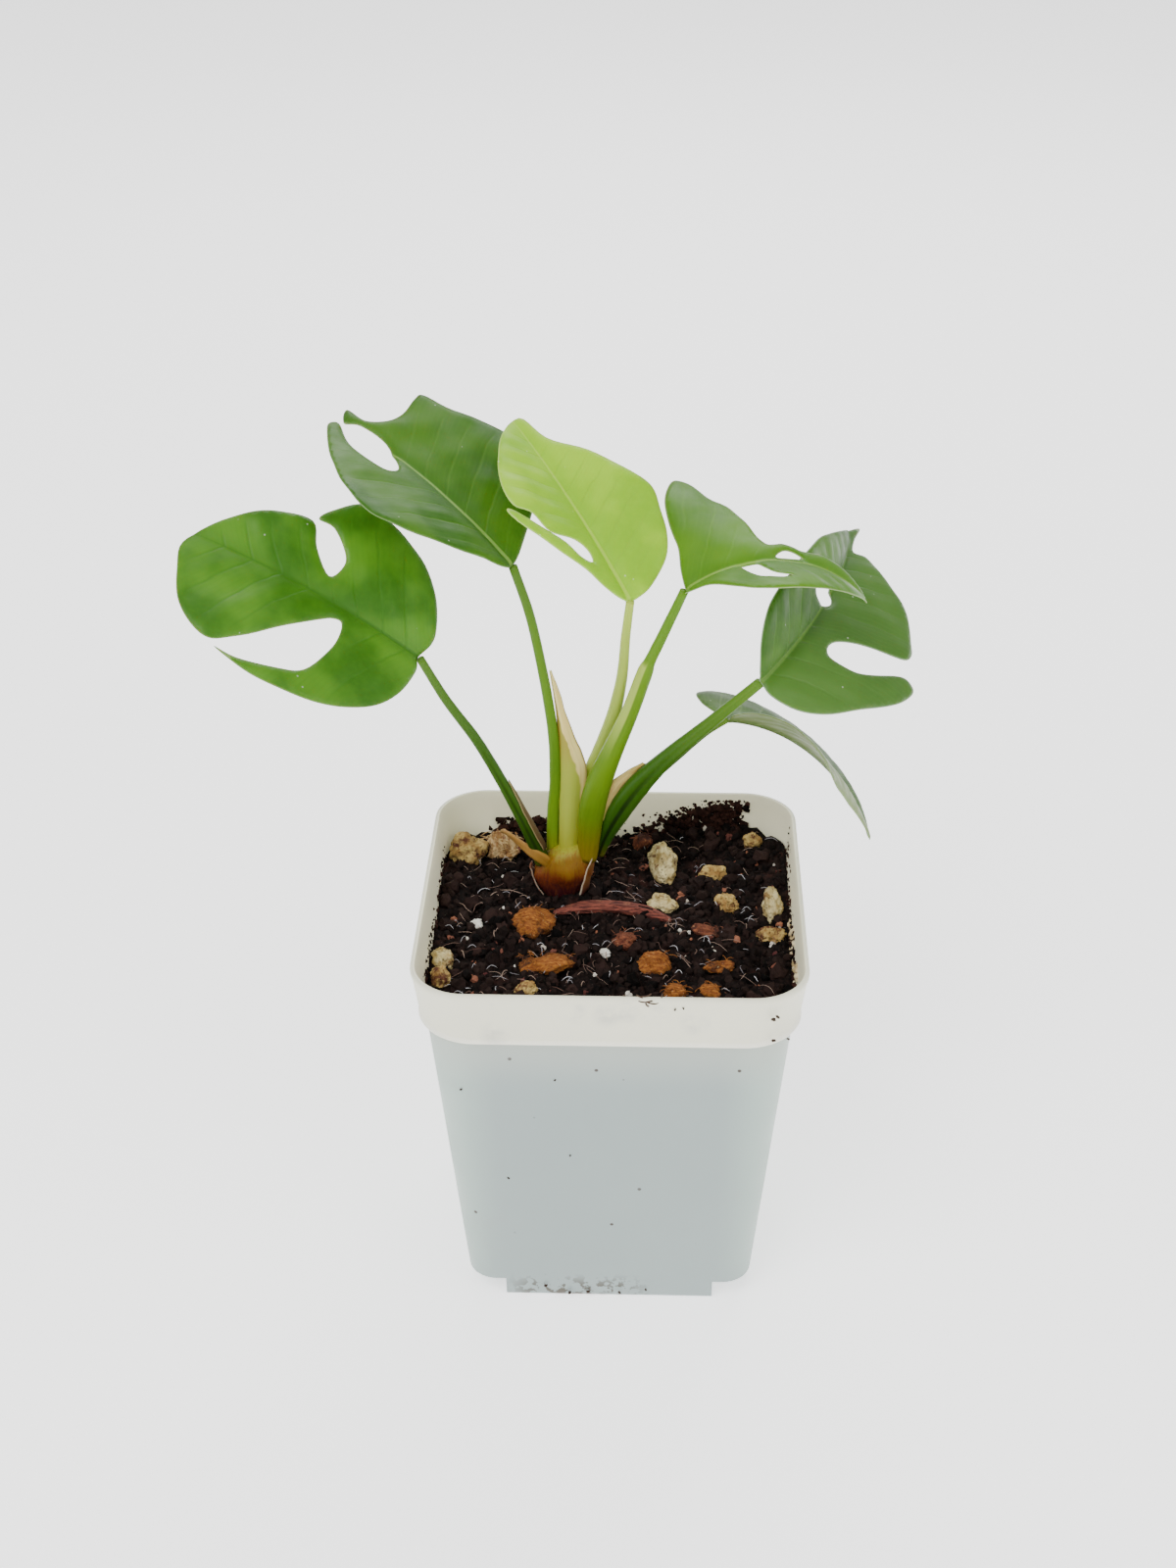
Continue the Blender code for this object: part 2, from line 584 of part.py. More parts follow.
# Blades: name, base, (azimuth, pitch, roll), length, bend, folds, curls, growths, twist, outline, holes
BLADES = (
    (
        "blade_1",
        (-34.5, 6.0, 120.0),
        (188, 42, -38),
        48,
        28,
        (10, 10),
        (-6, -6),
        (0, 0),
        0,
        (
            (0, 0), (-1, -3.5), (-0.5, -6.5), (2.5, -12), (8, -16.5), (15, -19), (21, -19.5), (25.5, -15.5),
            (27, -12.7), (24, -12.5), (20.5, -9.5), (19.5, -7), (21, -4), (25, -7.5), (27.7, -11.8),
            (33.5, -10.5), (38, -8), (42.5, -3.5), (46, 2.5), (44.5, 8.5), (42, 14), (38.5, 17.5), (34.5, 19),
            (31, 16.5), (25, 10.5), (19, 4.5), (17, 3), (15.5, 3), (15, 5.5), (15.5, 9.5), (18, 15.5),
            (22, 18), (29, 20), (33, 20), (27, 21.5), (21, 21.5), (14.5, 20.5), (9, 18), (4, 14), (1, 9),
            (-0.5, 3),
        ),
        (),
    ),
    (
        "blade_2",
        (-17.7, 10.0, 136.3),
        (145, 36, 0),
        42,
        22,
        (16, 16),
        (-6, -6),
        (0, 0),
        0,
        (
            (0, 0), (2.5, -5), (8.5, -14), (14.5, -18.5), (18.5, -20), (22.5, -19.5), (31, -16.5), (37, -15.3),
            (37.5, -13.5), (36.5, -9), (37, -5.5), (40, -2.8), (44.5, -3), (42.5, 0), (39.5, -1.3), (33, -1),
            (27, 2.5), (26.5, 6), (29, 7.5), (33, 7.5), (37.5, 5.5), (42.5, 1.5), (42.5, 4.5), (37.5, 10.5),
            (31, 16.5), (25.5, 20), (19.5, 21.5), (14.5, 19), (7, 10.5), (1, 3.5),
        ),
        (),
    ),
    (
        "blade_3",
        (2.9, 6.0, 131.5),
        (130, 42, 0),
        40,
        15,
        (16, 16),
        (-6, -6),
        (0, 0),
        0,
        (
            (0, 0), (0, -2), (1, -5), (4.5, -10), (8.5, -12.5), (13, -14), (17.5, -15), (22, -13), (29, -8.5),
            (35, -3.5), (41, -1.5), (38.5, 4), (34, 8.5), (28, 12.5), (22.5, 13.5), (20, 10.5), (16, 9),
            (13.5, 4.5), (11, 3), (8.7, 3.5), (10, 5.5), (13.5, 7), (18.5, 11.5), (21.7, 14.5), (20.5, 15.2),
            (12.5, 10), (6.5, 5.5), (1.5, 2.5),
        ),
        (),
    ),
    (
        "blade_4",
        (12.4, 6.0, 133.7),
        (18, 31, -2),
        38,
        84,
        (19, 15),
        (16, -6),
        (-32, -4),
        14,
        (
            (0, 0), (-0.3, -1.3), (1.2, -2.7), (3.2, -4.2), (5, -6.8), (7.6, -10.9), (9.5, -13.2),
            (13.2, -14.8), (18, -14), (23, -11.8), (28, -9), (33, -5.5), (38, 0), (33, 3), (28, 4.2),
            (25, 3.6), (22.9, 3.4), (21.5, 4.1), (19.7, 4.7), (18, 4.4), (16.8, 4.6), (15.8, 7), (15.3, 10.5),
            (14.7, 14.5), (13.9, 19.5), (12.2, 23.5), (11.2, 26.8), (10, 28.3), (8.4, 27.6), (6.5, 24.1),
            (5, 20.3), (3.9, 15.4), (3.4, 12.3), (2.9, 8.8), (1.3, 4.3),
        ),
        (
            (
                (10.6, -0.9), (12, -0.8), (13.4, -1), (14.1, -3.8), (15, -7.2), (17.2, -8.6), (15.2, -9.9),
                (13.3, -9.2), (11.7, -8), (11, -4.8),
            ),
            ((17.6, 1.0), (19.3, 2.6), (21, 2.5), (22.6, 1.2), (20, 0.8)),
        ),
    ),
    (
        "blade_5",
        (26.2, 4.0, 116.9),
        (52, 16, 66),
        47,
        33,
        (22, 24),
        (-13, -14),
        (0, 0),
        -12,
        (
            (0, 0), (0.5, 2.5), (2.5, 6.5), (5, 10), (8.5, 11.7), (14.5, 12.2), (23, 11.5), (31.5, 10),
            (38, 7.5), (46, 4), (55, 0), (58.5, -2.5), (52, -1.3), (46.5, -1.3), (47.3, -4), (46, -6.5),
            (42, -11), (38.5, -15), (35.5, -17), (32.5, -18.5), (30, -19.5), (27.5, -18.5), (24.5, -13),
            (21, -8), (18.5, -5.5), (16, -5.2), (15, -7), (16.5, -11.5), (20, -15.5), (24.5, -20), (25, -22.5),
            (23.5, -23.6), (19, -22), (12, -17), (5.5, -12.5), (1.5, -8), (-0.5, -3),
        ),
        (
            ((26.5, 7), (29, 7.5), (30, 5.5), (29.5, 1.5), (27.7, -0.5), (25.5, -1), (23.7, 1), (23.3, 4)),
        ),
    ),
    (
        "blade_6",
        (20.9, 15.0, 103.5),
        (28.75, -17.85, -27.8),
        41.4,
        62.7,
        (24.9, 9.3),
        (-6.6, -10.3),
        (-8.6, -26.1),
        36,
        (
            (0, 0), (-1, -3), (0.5, -7), (5, -11), (11, -13.7), (17, -14), (23, -12.3), (29, -9.5), (35, -6),
            (39.5, -3.6), (41.6, -2.6), (41.4, 0.4), (37, 3.2), (32, 5.4), (27, 7.2), (21, 9.8), (15, 13.2),
            (9.5, 15.8), (5, 16.3), (1.6, 14.3), (0, 10), (-0.8, 5),
        ),
        (),
    ),
)

# Petioles: name, path from the crown to the blade, radius at each point
PETIOLES = (
    (
        "petiole_1",
        (
            (-14.5, 12.6, 75.7), (-17, 11, 83.5), (-20.5, 10, 92), (-25, 8.5, 102), (-30, 7.5, 110.5),
            (-34.1, 6.2, 119),
        ),
        (1.15, 1.1, 1.05, 0.95, 0.85, 0.75),
    ),
    (
        "petiole_2",
        (
            (-11.7, 15.5, 75.7), (-11.5, 14.3, 83), (-11, 13.5, 91.5), (-11.5, 12.5, 104), (-14.5, 11, 124),
            (-17.6, 10.1, 135.8),
        ),
        (1.1, 1.05, 1.0, 0.95, 0.85, 0.8),
    ),
    (
        "petiole_3",
        (
            (-8.2, 16.9, 75.7), (-7, 16.8, 81), (-5.0, 15.6, 90.5), (-2.3, 13.9, 99), (-0.4, 12, 106.5),
            (1.3, 9.8, 115), (2.1, 7.7, 123.5), (2.85, 6.15, 130.9),
        ),
        (1.2, 1.15, 1.05, 0.95, 0.9, 0.85, 0.8, 0.75),
    ),
    (
        "petiole_4",
        (
            (-4.7, 12.1, 76.4), (-4.3, 11.5, 84), (-2.9, 10.5, 91.5), (-0.2, 9.6, 99.5), (3.0, 9, 108),
            (5.7, 8, 117), (8.5, 7, 124), (11.6, 6.1, 132.5),
        ),
        (1.6, 2.1, 2.1, 1.65, 1.3, 1.1, 0.95, 0.8),
    ),
    (
        "petiole_5",
        (
            (-1.9, 14.0, 76.6), (0.4, 11.4, 84.5), (4.2, 9.4, 91.5), (9.5, 7.5, 99), (18, 6, 108),
            (25.4, 4.2, 116),
        ),
        (1.1, 1.8, 1.9, 1.4, 1.1, 0.9),
    ),
    (
        "petiole_6",
        (
            (-4.1, 16.8, 75.7), (1, 16.6, 82.8), (6.5, 15.4, 90), (11.9, 14.6, 96), (16.7, 14.8, 100.6),
            (20.3, 15.0, 102.9),
        ),
        (1.1, 1.05, 1.0, 0.9, 0.8, 0.7),
    ),
)

# Sheaths: name, petiole index, first and last control point, gap to the stalk, angles
SHEATHS = (
    ("sheath_1", 0, 0, 2, 0.45, ((-50, 60), (-60, 70), (-20, 30))),
    ("sheath_5", 4, 1, 3, 0.45, ((130, 230), (150, 220), (175, 190))),
)
# Pale wing beside petiole_2: left and right edge, y and z at each level
WING = (
    (-10.1, -6.9, 13.9, 77.4),
    (-10.0, -6.4, 13.8, 85.0),
    (-9.8, -5.6, 13.6, 93.5),
    (-9.8, -8.6, 13.2, 104.0),
    (-11.2, -10.9, 12.8, 113.5),
)
WING_THICKNESS = 0.7

# Dried end of an old stalk, from the side of the crown to the husk
DRY_STUB = (
    (-16.3, 11.6, 73.6), (-17.3, 12.6, 75.4), (-19.4, 16.3, 76.0), (-21.2, 20.4, 75.0), (-21.9, 25.0, 71.9),
)
DRY_STUB_RADII = (0.85, 0.75, 0.75, 0.7, 0.6)


def make_sheath(name, petiole, first, last, gap, angles, paint):
    _, path, radii = PETIOLES[petiole]
    spots = path[first : last + 1]
    inner = [radius + gap for radius in radii[first : last + 1]]
    lifted = tuple(0.7 * a + 0.3 * b for a, b in zip(spots[0], spots[1]))
    return make_shell(name, (lifted,) + tuple(spots[1:]), inner, angles, paint)


def make_wing(name, levels, paint):
    """Flat upright sheath with thin edges."""
    rings = []
    for left, right, y, z in levels:
        inset = 0.25 * (right - left)
        front = y - WING_THICKNESS / 2
        back = y + WING_THICKNESS / 2
        ring = [(left, y, z), (left + inset, front, z), (right - inset, front, z)]
        ring += [(right, y, z), (right - inset, back, z), (left + inset, back, z)]
        rings.append(ring)
    return mesh_object(name, *loft(rings), paint)


def make_crown(paint):
    """Short thick base of the plant, widest just over the soil, with a flat seat for the petioles."""
    rings = []
    profile = ((0.0, 3.4), (1.0, 4.5), (2.6, 5.3), (4.6, 5.8), (6.8, 5.9), (8.3, 5.8), (9.2, 5.2))
    for rise, radius in profile:
        ring = []
        for i in range(20):
            turn = 2 * math.pi * i / 20
            wave = 1.0 + 0.06 * math.cos(3 * turn + rise)
            x = CROWN[0] + radius * wave * math.cos(turn)
            y = CROWN[1] + 0.2 + radius * CROWN_FLATTEN * wave * math.sin(turn)
            ring.append((x, y, CROWN_FOOT + rise))
        rings.append(ring)
    return mesh_object("crown", *loft(rings), paint)


def make_scale(name, angle_from, angle_to, foot, top, out, paint):
    """Dry bud scale standing round the outside of the crown."""
    path = [(CROWN[0], CROWN[1] + 0.2, z) for z in (foot, (foot + top) / 2, top)]
    radii = (5.7, 6.5 + out * 0.5, 6.6 + out)
    middle = (angle_from + angle_to) / 2
    spans = ((angle_from, angle_to), (angle_from + 6, angle_to - 6), (middle - 6, middle + 6))
    return make_shell(name, path, radii, spans, paint, thickness=0.5)


def make_strip(paint):
    """Long curved strip of reddish bark lying on the soil, with a low arched section."""
    w = STRIP_HALF_WIDTH
    h = STRIP_THICKNESS / 2
    section = ((-w, -h), (-w * 0.9, h * 0.7), (0.0, h), (w * 0.9, h * 0.7), (w, -h))
    middle = strip_seat() + h
    rings = []
    for x, y in smooth_path(STRIP, 5):
        rings.append([(x, y + across, middle + rise) for across, rise in section])
    points, faces = loft(rings)
    return outward(mesh_object("long_bark_strip", points, faces, paint))


def make_all():
    clear_scene()
    plastic = material("milky_plastic", (0.62, 0.66, 0.64), 0.45, 0.3)
    peat = material("peat", (0.045, 0.035, 0.028), 0.95)
    pumice = material("pumice", (0.62, 0.6, 0.55), 0.9)
    perlite = material("perlite", (0.85, 0.85, 0.83), 0.9)
    bark = material("bark", (0.42, 0.22, 0.09), 0.85)
    red_bark = material("red_bark", (0.36, 0.13, 0.07), 0.8)
    stalk = material("stalk", (0.2, 0.3, 0.05), 0.45)
    crown_skin = material("crown_skin", (0.42, 0.28, 0.1), 0.7)
    papery = material("papery_sheath", (0.45, 0.33, 0.2), 0.8)
    dark_leaf = material("dark_leaf", (0.045, 0.16, 0.025), 0.4)
    pale_leaf = material("pale_leaf", (0.35, 0.5, 0.1), 0.45)
    mid_leaf = material("mid_leaf", (0.13, 0.3, 0.04), 0.42)
    lump_paint = {"perlite_1": perlite, "perlite_2": perlite, "dry_husk": papery}
    leaf_paint = {"blade_3": pale_leaf, "blade_4": mid_leaf}
    make_pot(plastic)
    make_soil(peat)
    for name, x, y, halves, turn, seed in LUMPS:
        make_lump(name, x, y, halves, turn, seed, lump_paint.get(name, pumice))
    for name, x, y, halves, turn, tilt, seed in CHIPS:
        make_chip(name, x, y, halves, turn, tilt, seed, bark)
    make_strip(red_bark)
    make_crown(crown_skin)
    make_scale("scale_left", 165, 240, CROWN_FOOT + 1.2, 70.8, 0.2, papery)
    make_scale("scale_right", -72, 20, CROWN_FOOT + 1.0, 73.6, 0.6, papery)
    make_tube("dry_stub", DRY_STUB, DRY_STUB_RADII, papery)
    for name, path, radii in PETIOLES:
        make_tube(name, path, radii, stalk)
    for name, petiole, first, last, gap, angles in SHEATHS:
        make_sheath(name, petiole, first, last, gap, angles, papery)
    make_wing("sheath_2", WING, papery)
    for name, *shape, outline, holes in BLADES:
        make_blade(name, Blade(*shape), outline, holes, leaf_paint.get(name, dark_leaf))


make_all()
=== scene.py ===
import math
import random

import bmesh
import bpy
import numpy as np
from mathutils import Euler, Matrix, Vector, geometry, noise


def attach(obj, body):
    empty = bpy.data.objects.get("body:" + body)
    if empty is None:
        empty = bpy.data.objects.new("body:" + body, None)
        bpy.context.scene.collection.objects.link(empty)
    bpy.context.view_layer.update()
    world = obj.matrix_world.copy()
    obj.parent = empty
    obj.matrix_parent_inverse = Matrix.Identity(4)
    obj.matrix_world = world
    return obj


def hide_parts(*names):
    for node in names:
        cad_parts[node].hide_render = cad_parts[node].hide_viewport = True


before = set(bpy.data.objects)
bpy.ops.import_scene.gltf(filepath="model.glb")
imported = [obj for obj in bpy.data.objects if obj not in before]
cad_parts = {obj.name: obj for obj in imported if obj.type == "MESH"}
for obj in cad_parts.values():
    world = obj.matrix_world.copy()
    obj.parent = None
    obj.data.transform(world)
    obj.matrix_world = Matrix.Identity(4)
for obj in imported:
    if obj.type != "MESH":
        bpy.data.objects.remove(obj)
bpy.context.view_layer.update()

MM = 0.001

# Camera, found from the edges of the pot in the photograph of 1200 x 1600 pixels
CAMERA_DISTANCE = 450.0
CAMERA_ELEVATION = 30.38
CAMERA_SIDE = -4.41
CAMERA_RISE = 84.56
CAMERA_YAW = -1.93
CAMERA_ROLL = -0.30
CAMERA_LENS = 51.21

# Pot
POT_HEIGHT = 76.0
RIM_HALF = 35.0
RIM_RADIUS = 9.9
BAND_FOOT_HALF = 33.9
BAND_FOOT_RADIUS = 10.6
BAND_HEIGHT = 11.2
BODY_TOP_HALF = 32.4
BODY_TOP_RADIUS = 7.3
BODY_FOOT_HALF = 26.6
BODY_FOOT_RADIUS = 5.5
WALL = 0.9
FLOOR = 1.3
NOTCH_WIDTH = 7.0
NOTCH_HEIGHT = 4.3
SHELF = 1.1
DRAIN_HOLE_RADIUS = 1.7
DRAIN_HOLE_AT = 20.6

SOIL_LEVEL = 66.4
SOIL_MESH = 0.62
SOIL_SIDES = ((65.4, 32.7), (63.5, 31.1), (40.0, 28.7), (20.0, 26.9), (5.7, 25.4))
CROWN = (-9.7, 14.0)

# Shared helpers


def link(obj):
    bpy.context.scene.collection.objects.link(obj)
    return obj


def mesh_object(name, points, faces, paint, smooth=True):
    mesh = bpy.data.meshes.new(name)
    mesh.from_pydata([tuple(float(c) * MM for c in point) for point in points], [], faces)
    mesh.validate()
    mesh.polygons.foreach_set("use_smooth", [smooth] * len(mesh.polygons))
    mesh.update()
    made = link(bpy.data.objects.new(name, mesh))
    if paint is not None:
        made.data.materials.append(paint)
    return made


def outward(made):
    worker = bmesh.new()
    worker.from_mesh(made.data)
    bmesh.ops.recalc_face_normals(worker, faces=worker.faces)
    worker.to_mesh(made.data)
    worker.free()
    return made


def put_vector(made, name, values):
    layer = made.data.attributes.new(name, "FLOAT_VECTOR", "POINT")
    layer.data.foreach_set("vector", np.asarray(values, dtype=np.float32).ravel())


def put_float(made, name, values):
    layer = made.data.attributes.new(name, "FLOAT", "POINT")
    layer.data.foreach_set("value", np.asarray(values, dtype=np.float32).ravel())


def place(made, slot, *nodes):
    """Ties the piece to the body and hides the nodes it stands for. The slot is not used."""
    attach(made, "root")
    if nodes:
        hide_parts(*nodes)
    return made


def toned_piece(name, parts, tones, paint, slot, smooth=False):
    """Joins loose parts into one piece, with one tone for each part."""
    piece = mesh_object(name, *gather(parts), paint, smooth)
    if smooth:
        outward(piece)
    put_float(piece, "tone", [tone for tone, (points, _) in zip(tones, parts) for _ in points])
    return place(piece, slot)


def marked_piece(name, rings, marks, paint, slot, node):
    """Skins the rings, and keeps for each point how far along and round it lies."""
    piece = outward(mesh_object(name, *loft(rings), paint))
    put_vector(piece, "stalk", marks)
    return place(piece, slot, node)


class Signal:
    """Output of a shader node. Arithmetic on it adds Math nodes."""

    def __init__(self, paint, socket):
        self.paint = paint
        self.socket = socket

    def __abs__(self):
        return self.paint.math("ABSOLUTE", self)

    def __add__(self, other):
        return self.paint.math("ADD", self, other)

    def __radd__(self, other):
        return self.paint.math("ADD", other, self)

    def __sub__(self, other):
        return self.paint.math("SUBTRACT", self, other)

    def __rsub__(self, other):
        return self.paint.math("SUBTRACT", other, self)

    def __mul__(self, other):
        return self.paint.math("MULTIPLY", self, other)

    def __truediv__(self, other):
        return self.paint.math("DIVIDE", self, other)


class Paint:
    """Small builder for one Principled material."""

    def __init__(self, name, roughness=0.5, specular=0.5, **sockets):
        self.material = bpy.data.materials.new(name)
        self.material.use_nodes = True
        self.tree = self.material.node_tree
        self.shader = self.tree.nodes["Principled BSDF"]
        self.shader.inputs["Roughness"].default_value = roughness
        self.shader.inputs["Specular IOR Level"].default_value = specular
        for key, value in sockets.items():
            self.shader.inputs[key.replace("_", " ")].default_value = value

    def feed(self, socket, value):
        if isinstance(value, Signal):
            self.tree.links.new(value.socket, socket)
        elif isinstance(value, tuple) and socket.type == "RGBA":
            socket.default_value = (*value, 1.0)
        else:
            socket.default_value = value

    def node(self, kind, inputs, output=0, **settings):
        """Adds a node, feeds its inputs by name or number, and gives one output."""
        made = self.tree.nodes.new("ShaderNode" + kind)
        for key, value in settings.items():
            setattr(made, key, value)
        for key, value in inputs.items():
            self.feed(made.inputs[key], value)
        return Signal(self, made.outputs[output])

    def math(self, operation, a, b=0.0):
        return self.node("Math", {0: a, 1: b, 2: 0.0}, operation=operation)

    def ramp(self, value, low, high, to_low=0.0, to_high=1.0):
        inputs = {0: value, 1: low, 2: high, 3: to_low, 4: to_high}
        return self.node("MapRange", inputs, interpolation_type="SMOOTHSTEP")

    def mix(self, factor, a, b):
        return self.node("Mix", {"Factor": factor, 6: a, 7: b}, 2, data_type="RGBA")

    def where(self):
        return self.node("TexCoord", {}, "Object")

    def attribute(self, name, output="Vector"):
        return self.node("Attribute", {}, output, attribute_name=name)

    def split(self, vector):
        made = self.node("SeparateXYZ", {0: vector}).socket.node
        return [Signal(self, socket) for socket in made.outputs]

    def join(self, x, y):
        return self.node("CombineXYZ", {0: x, 1: y, 2: 0.0})

    def scaled(self, *scale):
        """Place in the object, stretched by the scale along each axis."""
        return self.node("Mapping", {"Vector": self.where(), "Scale": scale})

    def near(self, centre, inner, outer):
        """1 within the inner distance of the centre, 0 beyond the outer one, in millimetres."""
        inputs = {0: self.where(), 1: tuple(c * MM for c in centre)}
        away = self.node("VectorMath", inputs, "Value", operation="DISTANCE")
        return self.ramp(away, outer * MM, inner * MM)

    def noise(self, scale, detail=3.0, vector=None, roughness=0.55, distortion=0.0):
        inputs = {"Vector": vector or self.where(), "Scale": scale, "Detail": detail}
        inputs.update(Roughness=roughness, Distortion=distortion)
        return self.node("TexNoise", inputs, "Fac")

    def speckle(self, scale):
        """Distance to the nearest of many scattered points."""
        return self.node("TexVoronoi", {"Vector": self.where(), "Scale": scale}, "Distance")

    def colour(self, value):
        self.feed(self.shader.inputs["Base Color"], value)

    def rough(self, value):
        self.feed(self.shader.inputs["Roughness"], value)

    def bump(self, height, strength, distance):
        normal = self.node("Bump", {"Strength": strength, "Distance": distance, "Height": height})
        self.feed(self.shader.inputs["Normal"], normal)


def rounded_square(half, radius, z, corner_points=14, between=0):
    """Ring of points at one level, with extra ones along the sides where between is given."""
    ring = []
    for corner in range(4):
        middle = math.radians(45 + 90 * corner)
        cx = math.copysign(half - radius, math.cos(middle))
        cy = math.copysign(half - radius, math.sin(middle))
        for step in range(corner_points):
            angle = math.radians(90 * corner + 90 * step / (corner_points - 1))
            ring.append((cx + radius * math.cos(angle), cy + radius * math.sin(angle), z))
        for step in range(between):
            along = (half - radius) * (1 - 2 * (step + 1) / (between + 1))
            side = ((along, half), (-half, along), (-along, -half), (half, -along))[corner]
            ring.append((*side, z))
    return ring


def loft(rings):
    """Points and faces of a skin through the rings, with both ends closed."""
    count = len(rings[0])
    points = [point for ring in rings for point in ring]
    faces = [tuple(reversed(range(count)))]
    for level in range(len(rings) - 1):
        low = level * count
        for i in range(count):
            j = (i + 1) % count
            faces.append((low + i, low + j, low + count + j, low + count + i))
    last = (len(rings) - 1) * count
    faces.append(tuple(range(last, last + count)))
    return points, faces


def gather(parts):
    """Points and faces of several parts, joined into one."""
    points = []
    faces = []
    for new_points, new_faces in parts:
        faces += [tuple(len(points) + i for i in face) for face in new_faces]
        points += list(new_points)
    return points, faces


def circle(radius, z, count, cx, cy):
    turns = [2 * math.pi * i / count for i in range(count)]
    return [(cx + radius * math.cos(t), cy + radius * math.sin(t), z) for t in turns]


def spline(p0, p1, p2, p3, t):
    """Catmull-Rom point between p1 and p2, for points of any length."""
    spot = []
    for a, b, c, d in zip(p0, p1, p2, p3):
        value = 2 * b + (c - a) * t + (2 * a - 5 * b + 4 * c - d) * t * t
        spot.append(0.5 * (value + (3 * b - a - 3 * c + d) * t * t * t))
    return spot


def curve_through(controls, steps):
    first = [2 * a - b for a, b in zip(controls[0], controls[1])]
    last = [2 * a - b for a, b in zip(controls[-1], controls[-2])]
    ends = [first, *controls, last]
    spans = range(len(controls) - 1)
    path = [spline(*ends[span : span + 4], step / steps) for span in spans for step in range(steps)]
    return [*path, list(controls[-1])]


def closed_curve(points, steps):
    ring = []
    for span in range(len(points)):
        near = [points[(span + k) % len(points)] for k in (-1, 0, 1, 2)]
        ring += [tuple(spline(*near, step / steps)) for step in range(steps)]
    return ring


def path_frames(path):
    """Direction along the path at each point, and two directions across it."""
    frames = []
    for i in range(len(path)):
        before = Vector(path[max(0, i - 1)])
        after = Vector(path[min(len(path) - 1, i + 1)])
        tangent = (after - before).normalized()
        level = tangent.cross(Vector((0.0, 1.0, 0.0)))
        level = Vector((1.0, 0.0, 0.0)) if level.length < 0.05 else -level.normalized()
        level = (level - tangent * level.dot(tangent)).normalized()
        frames.append((tangent, level, tangent.cross(level)))
    return frames


def blended(a, b, amount):
    return tuple(p + (q - p) * amount for p, q in zip(a, b))


def crumple(x, y, z, scale, seed=0.0):
    return noise.noise(Vector((x * scale + seed, y * scale - seed, z * scale + 2 * seed)))


# Pot


def corner_blocks(reach, size, z0, z1):
    parts = []
    for sx in (-1, 1):
        for sy in (-1, 1):
            xs = sorted((sx * (reach - size), sx * (reach + 4)))
            ys = sorted((sy * (reach - size), sy * (reach + 4)))
            ring = [(xs[0], ys[0]), (xs[1], ys[0]), (xs[1], ys[1]), (xs[0], ys[1])]
            parts.append(loft([[(x, y, z) for x, y in ring] for z in (z0, z1)]))
    return gather(parts)


def combine(target, operation, other):
    """Applies a Boolean with the other object to the target's mesh, and removes the other."""
    modifier = target.modifiers.new("combine", "BOOLEAN")
    modifier.operation = operation
    modifier.solver = "EXACT"
    modifier.object = other
    graph = bpy.context.evaluated_depsgraph_get()
    mesh = bpy.data.meshes.new_from_object(target.evaluated_get(graph))
    target.modifiers.clear()
    target.data = mesh
    bpy.data.objects.remove(other)


SMUDGES = (
    (-6.3, -34.7, 72.5), (-0.2, -34.6, 71.9), (8.0, -34.6, 72.1), (14.9, -34.5, 70.4), (-19.8, -34.1, 67.3),
    (3.5, -34.6, 73.0),
)


def plastic_paint():
    paint = Paint("milky plastic", specular=0.35)
    x, _, z = paint.split(paint.where())
    body = paint.mix(paint.noise(28.0, 4.0), (0.25, 0.305, 0.30), (0.30, 0.36, 0.345))
    body = paint.mix(paint.ramp(abs(x), 0.019, 0.031), body, (0.38, 0.475, 0.42))
    body = paint.mix(paint.ramp(z, 0.012, 0.0) * 0.5, body, (0.29, 0.345, 0.34))
    body = paint.mix(paint.ramp(z, 0.052, 0.0648) * 0.55, body, (0.45, 0.47, 0.41))
    rim = paint.mix(paint.noise(45.0, 4.0), (0.72, 0.71, 0.55), (0.84, 0.82, 0.65))
    colour = paint.mix(paint.ramp(z, 0.0643, 0.0651), body, rim)
    bead = paint.ramp(z, 0.0645, 0.0649) * paint.ramp(z, 0.0662, 0.0656)
    colour = paint.mix(bead * 0.6, colour, (0.90, 0.88, 0.78))
    # Inner faces above the floor are painted bright cream: painted light for the light that shines through
    # the walls
    colour = paint.mix(paint.attribute("inside", "Fac"), colour, (0.95, 0.90, 0.68))
    smudge = paint.ramp(paint.noise(70.0, 5.0, roughness=0.62), 0.60, 0.76)
    colour = paint.mix(smudge * 0.3, colour, (0.30, 0.31, 0.30))
    blot = sum(paint.near(centre, 0.6, 3.4) for centre in SMUDGES)
    blot = blot * paint.ramp(paint.noise(210.0, 4.0), 0.35, 0.65)
    colour = paint.mix(blot * 0.38, colour, (0.28, 0.29, 0.29))
    low = paint.ramp(z, 0.0065, 0.002) * paint.ramp(paint.noise(620.0, 4.0), 0.5, 0.57)
    patch = paint.ramp(x, -0.021, -0.013) * paint.ramp(x, 0.009, 0.001)
    colour = paint.mix(low * patch, colour, (0.09, 0.08, 0.06))
    speck = paint.ramp(paint.speckle(190.0), 0.085, 0.05)
    rare = paint.ramp(paint.noise(37.0, 1.0), 0.55, 0.6)
    paint.colour(paint.mix(speck * rare, colour, (0.06, 0.045, 0.035)))
    paint.rough(paint.ramp(paint.noise(90.0, 4.0), 0.3, 0.7, 0.33, 0.5))
    paint.bump(paint.noise(240.0, 4.0), 0.12, 0.0001)
    return paint.material


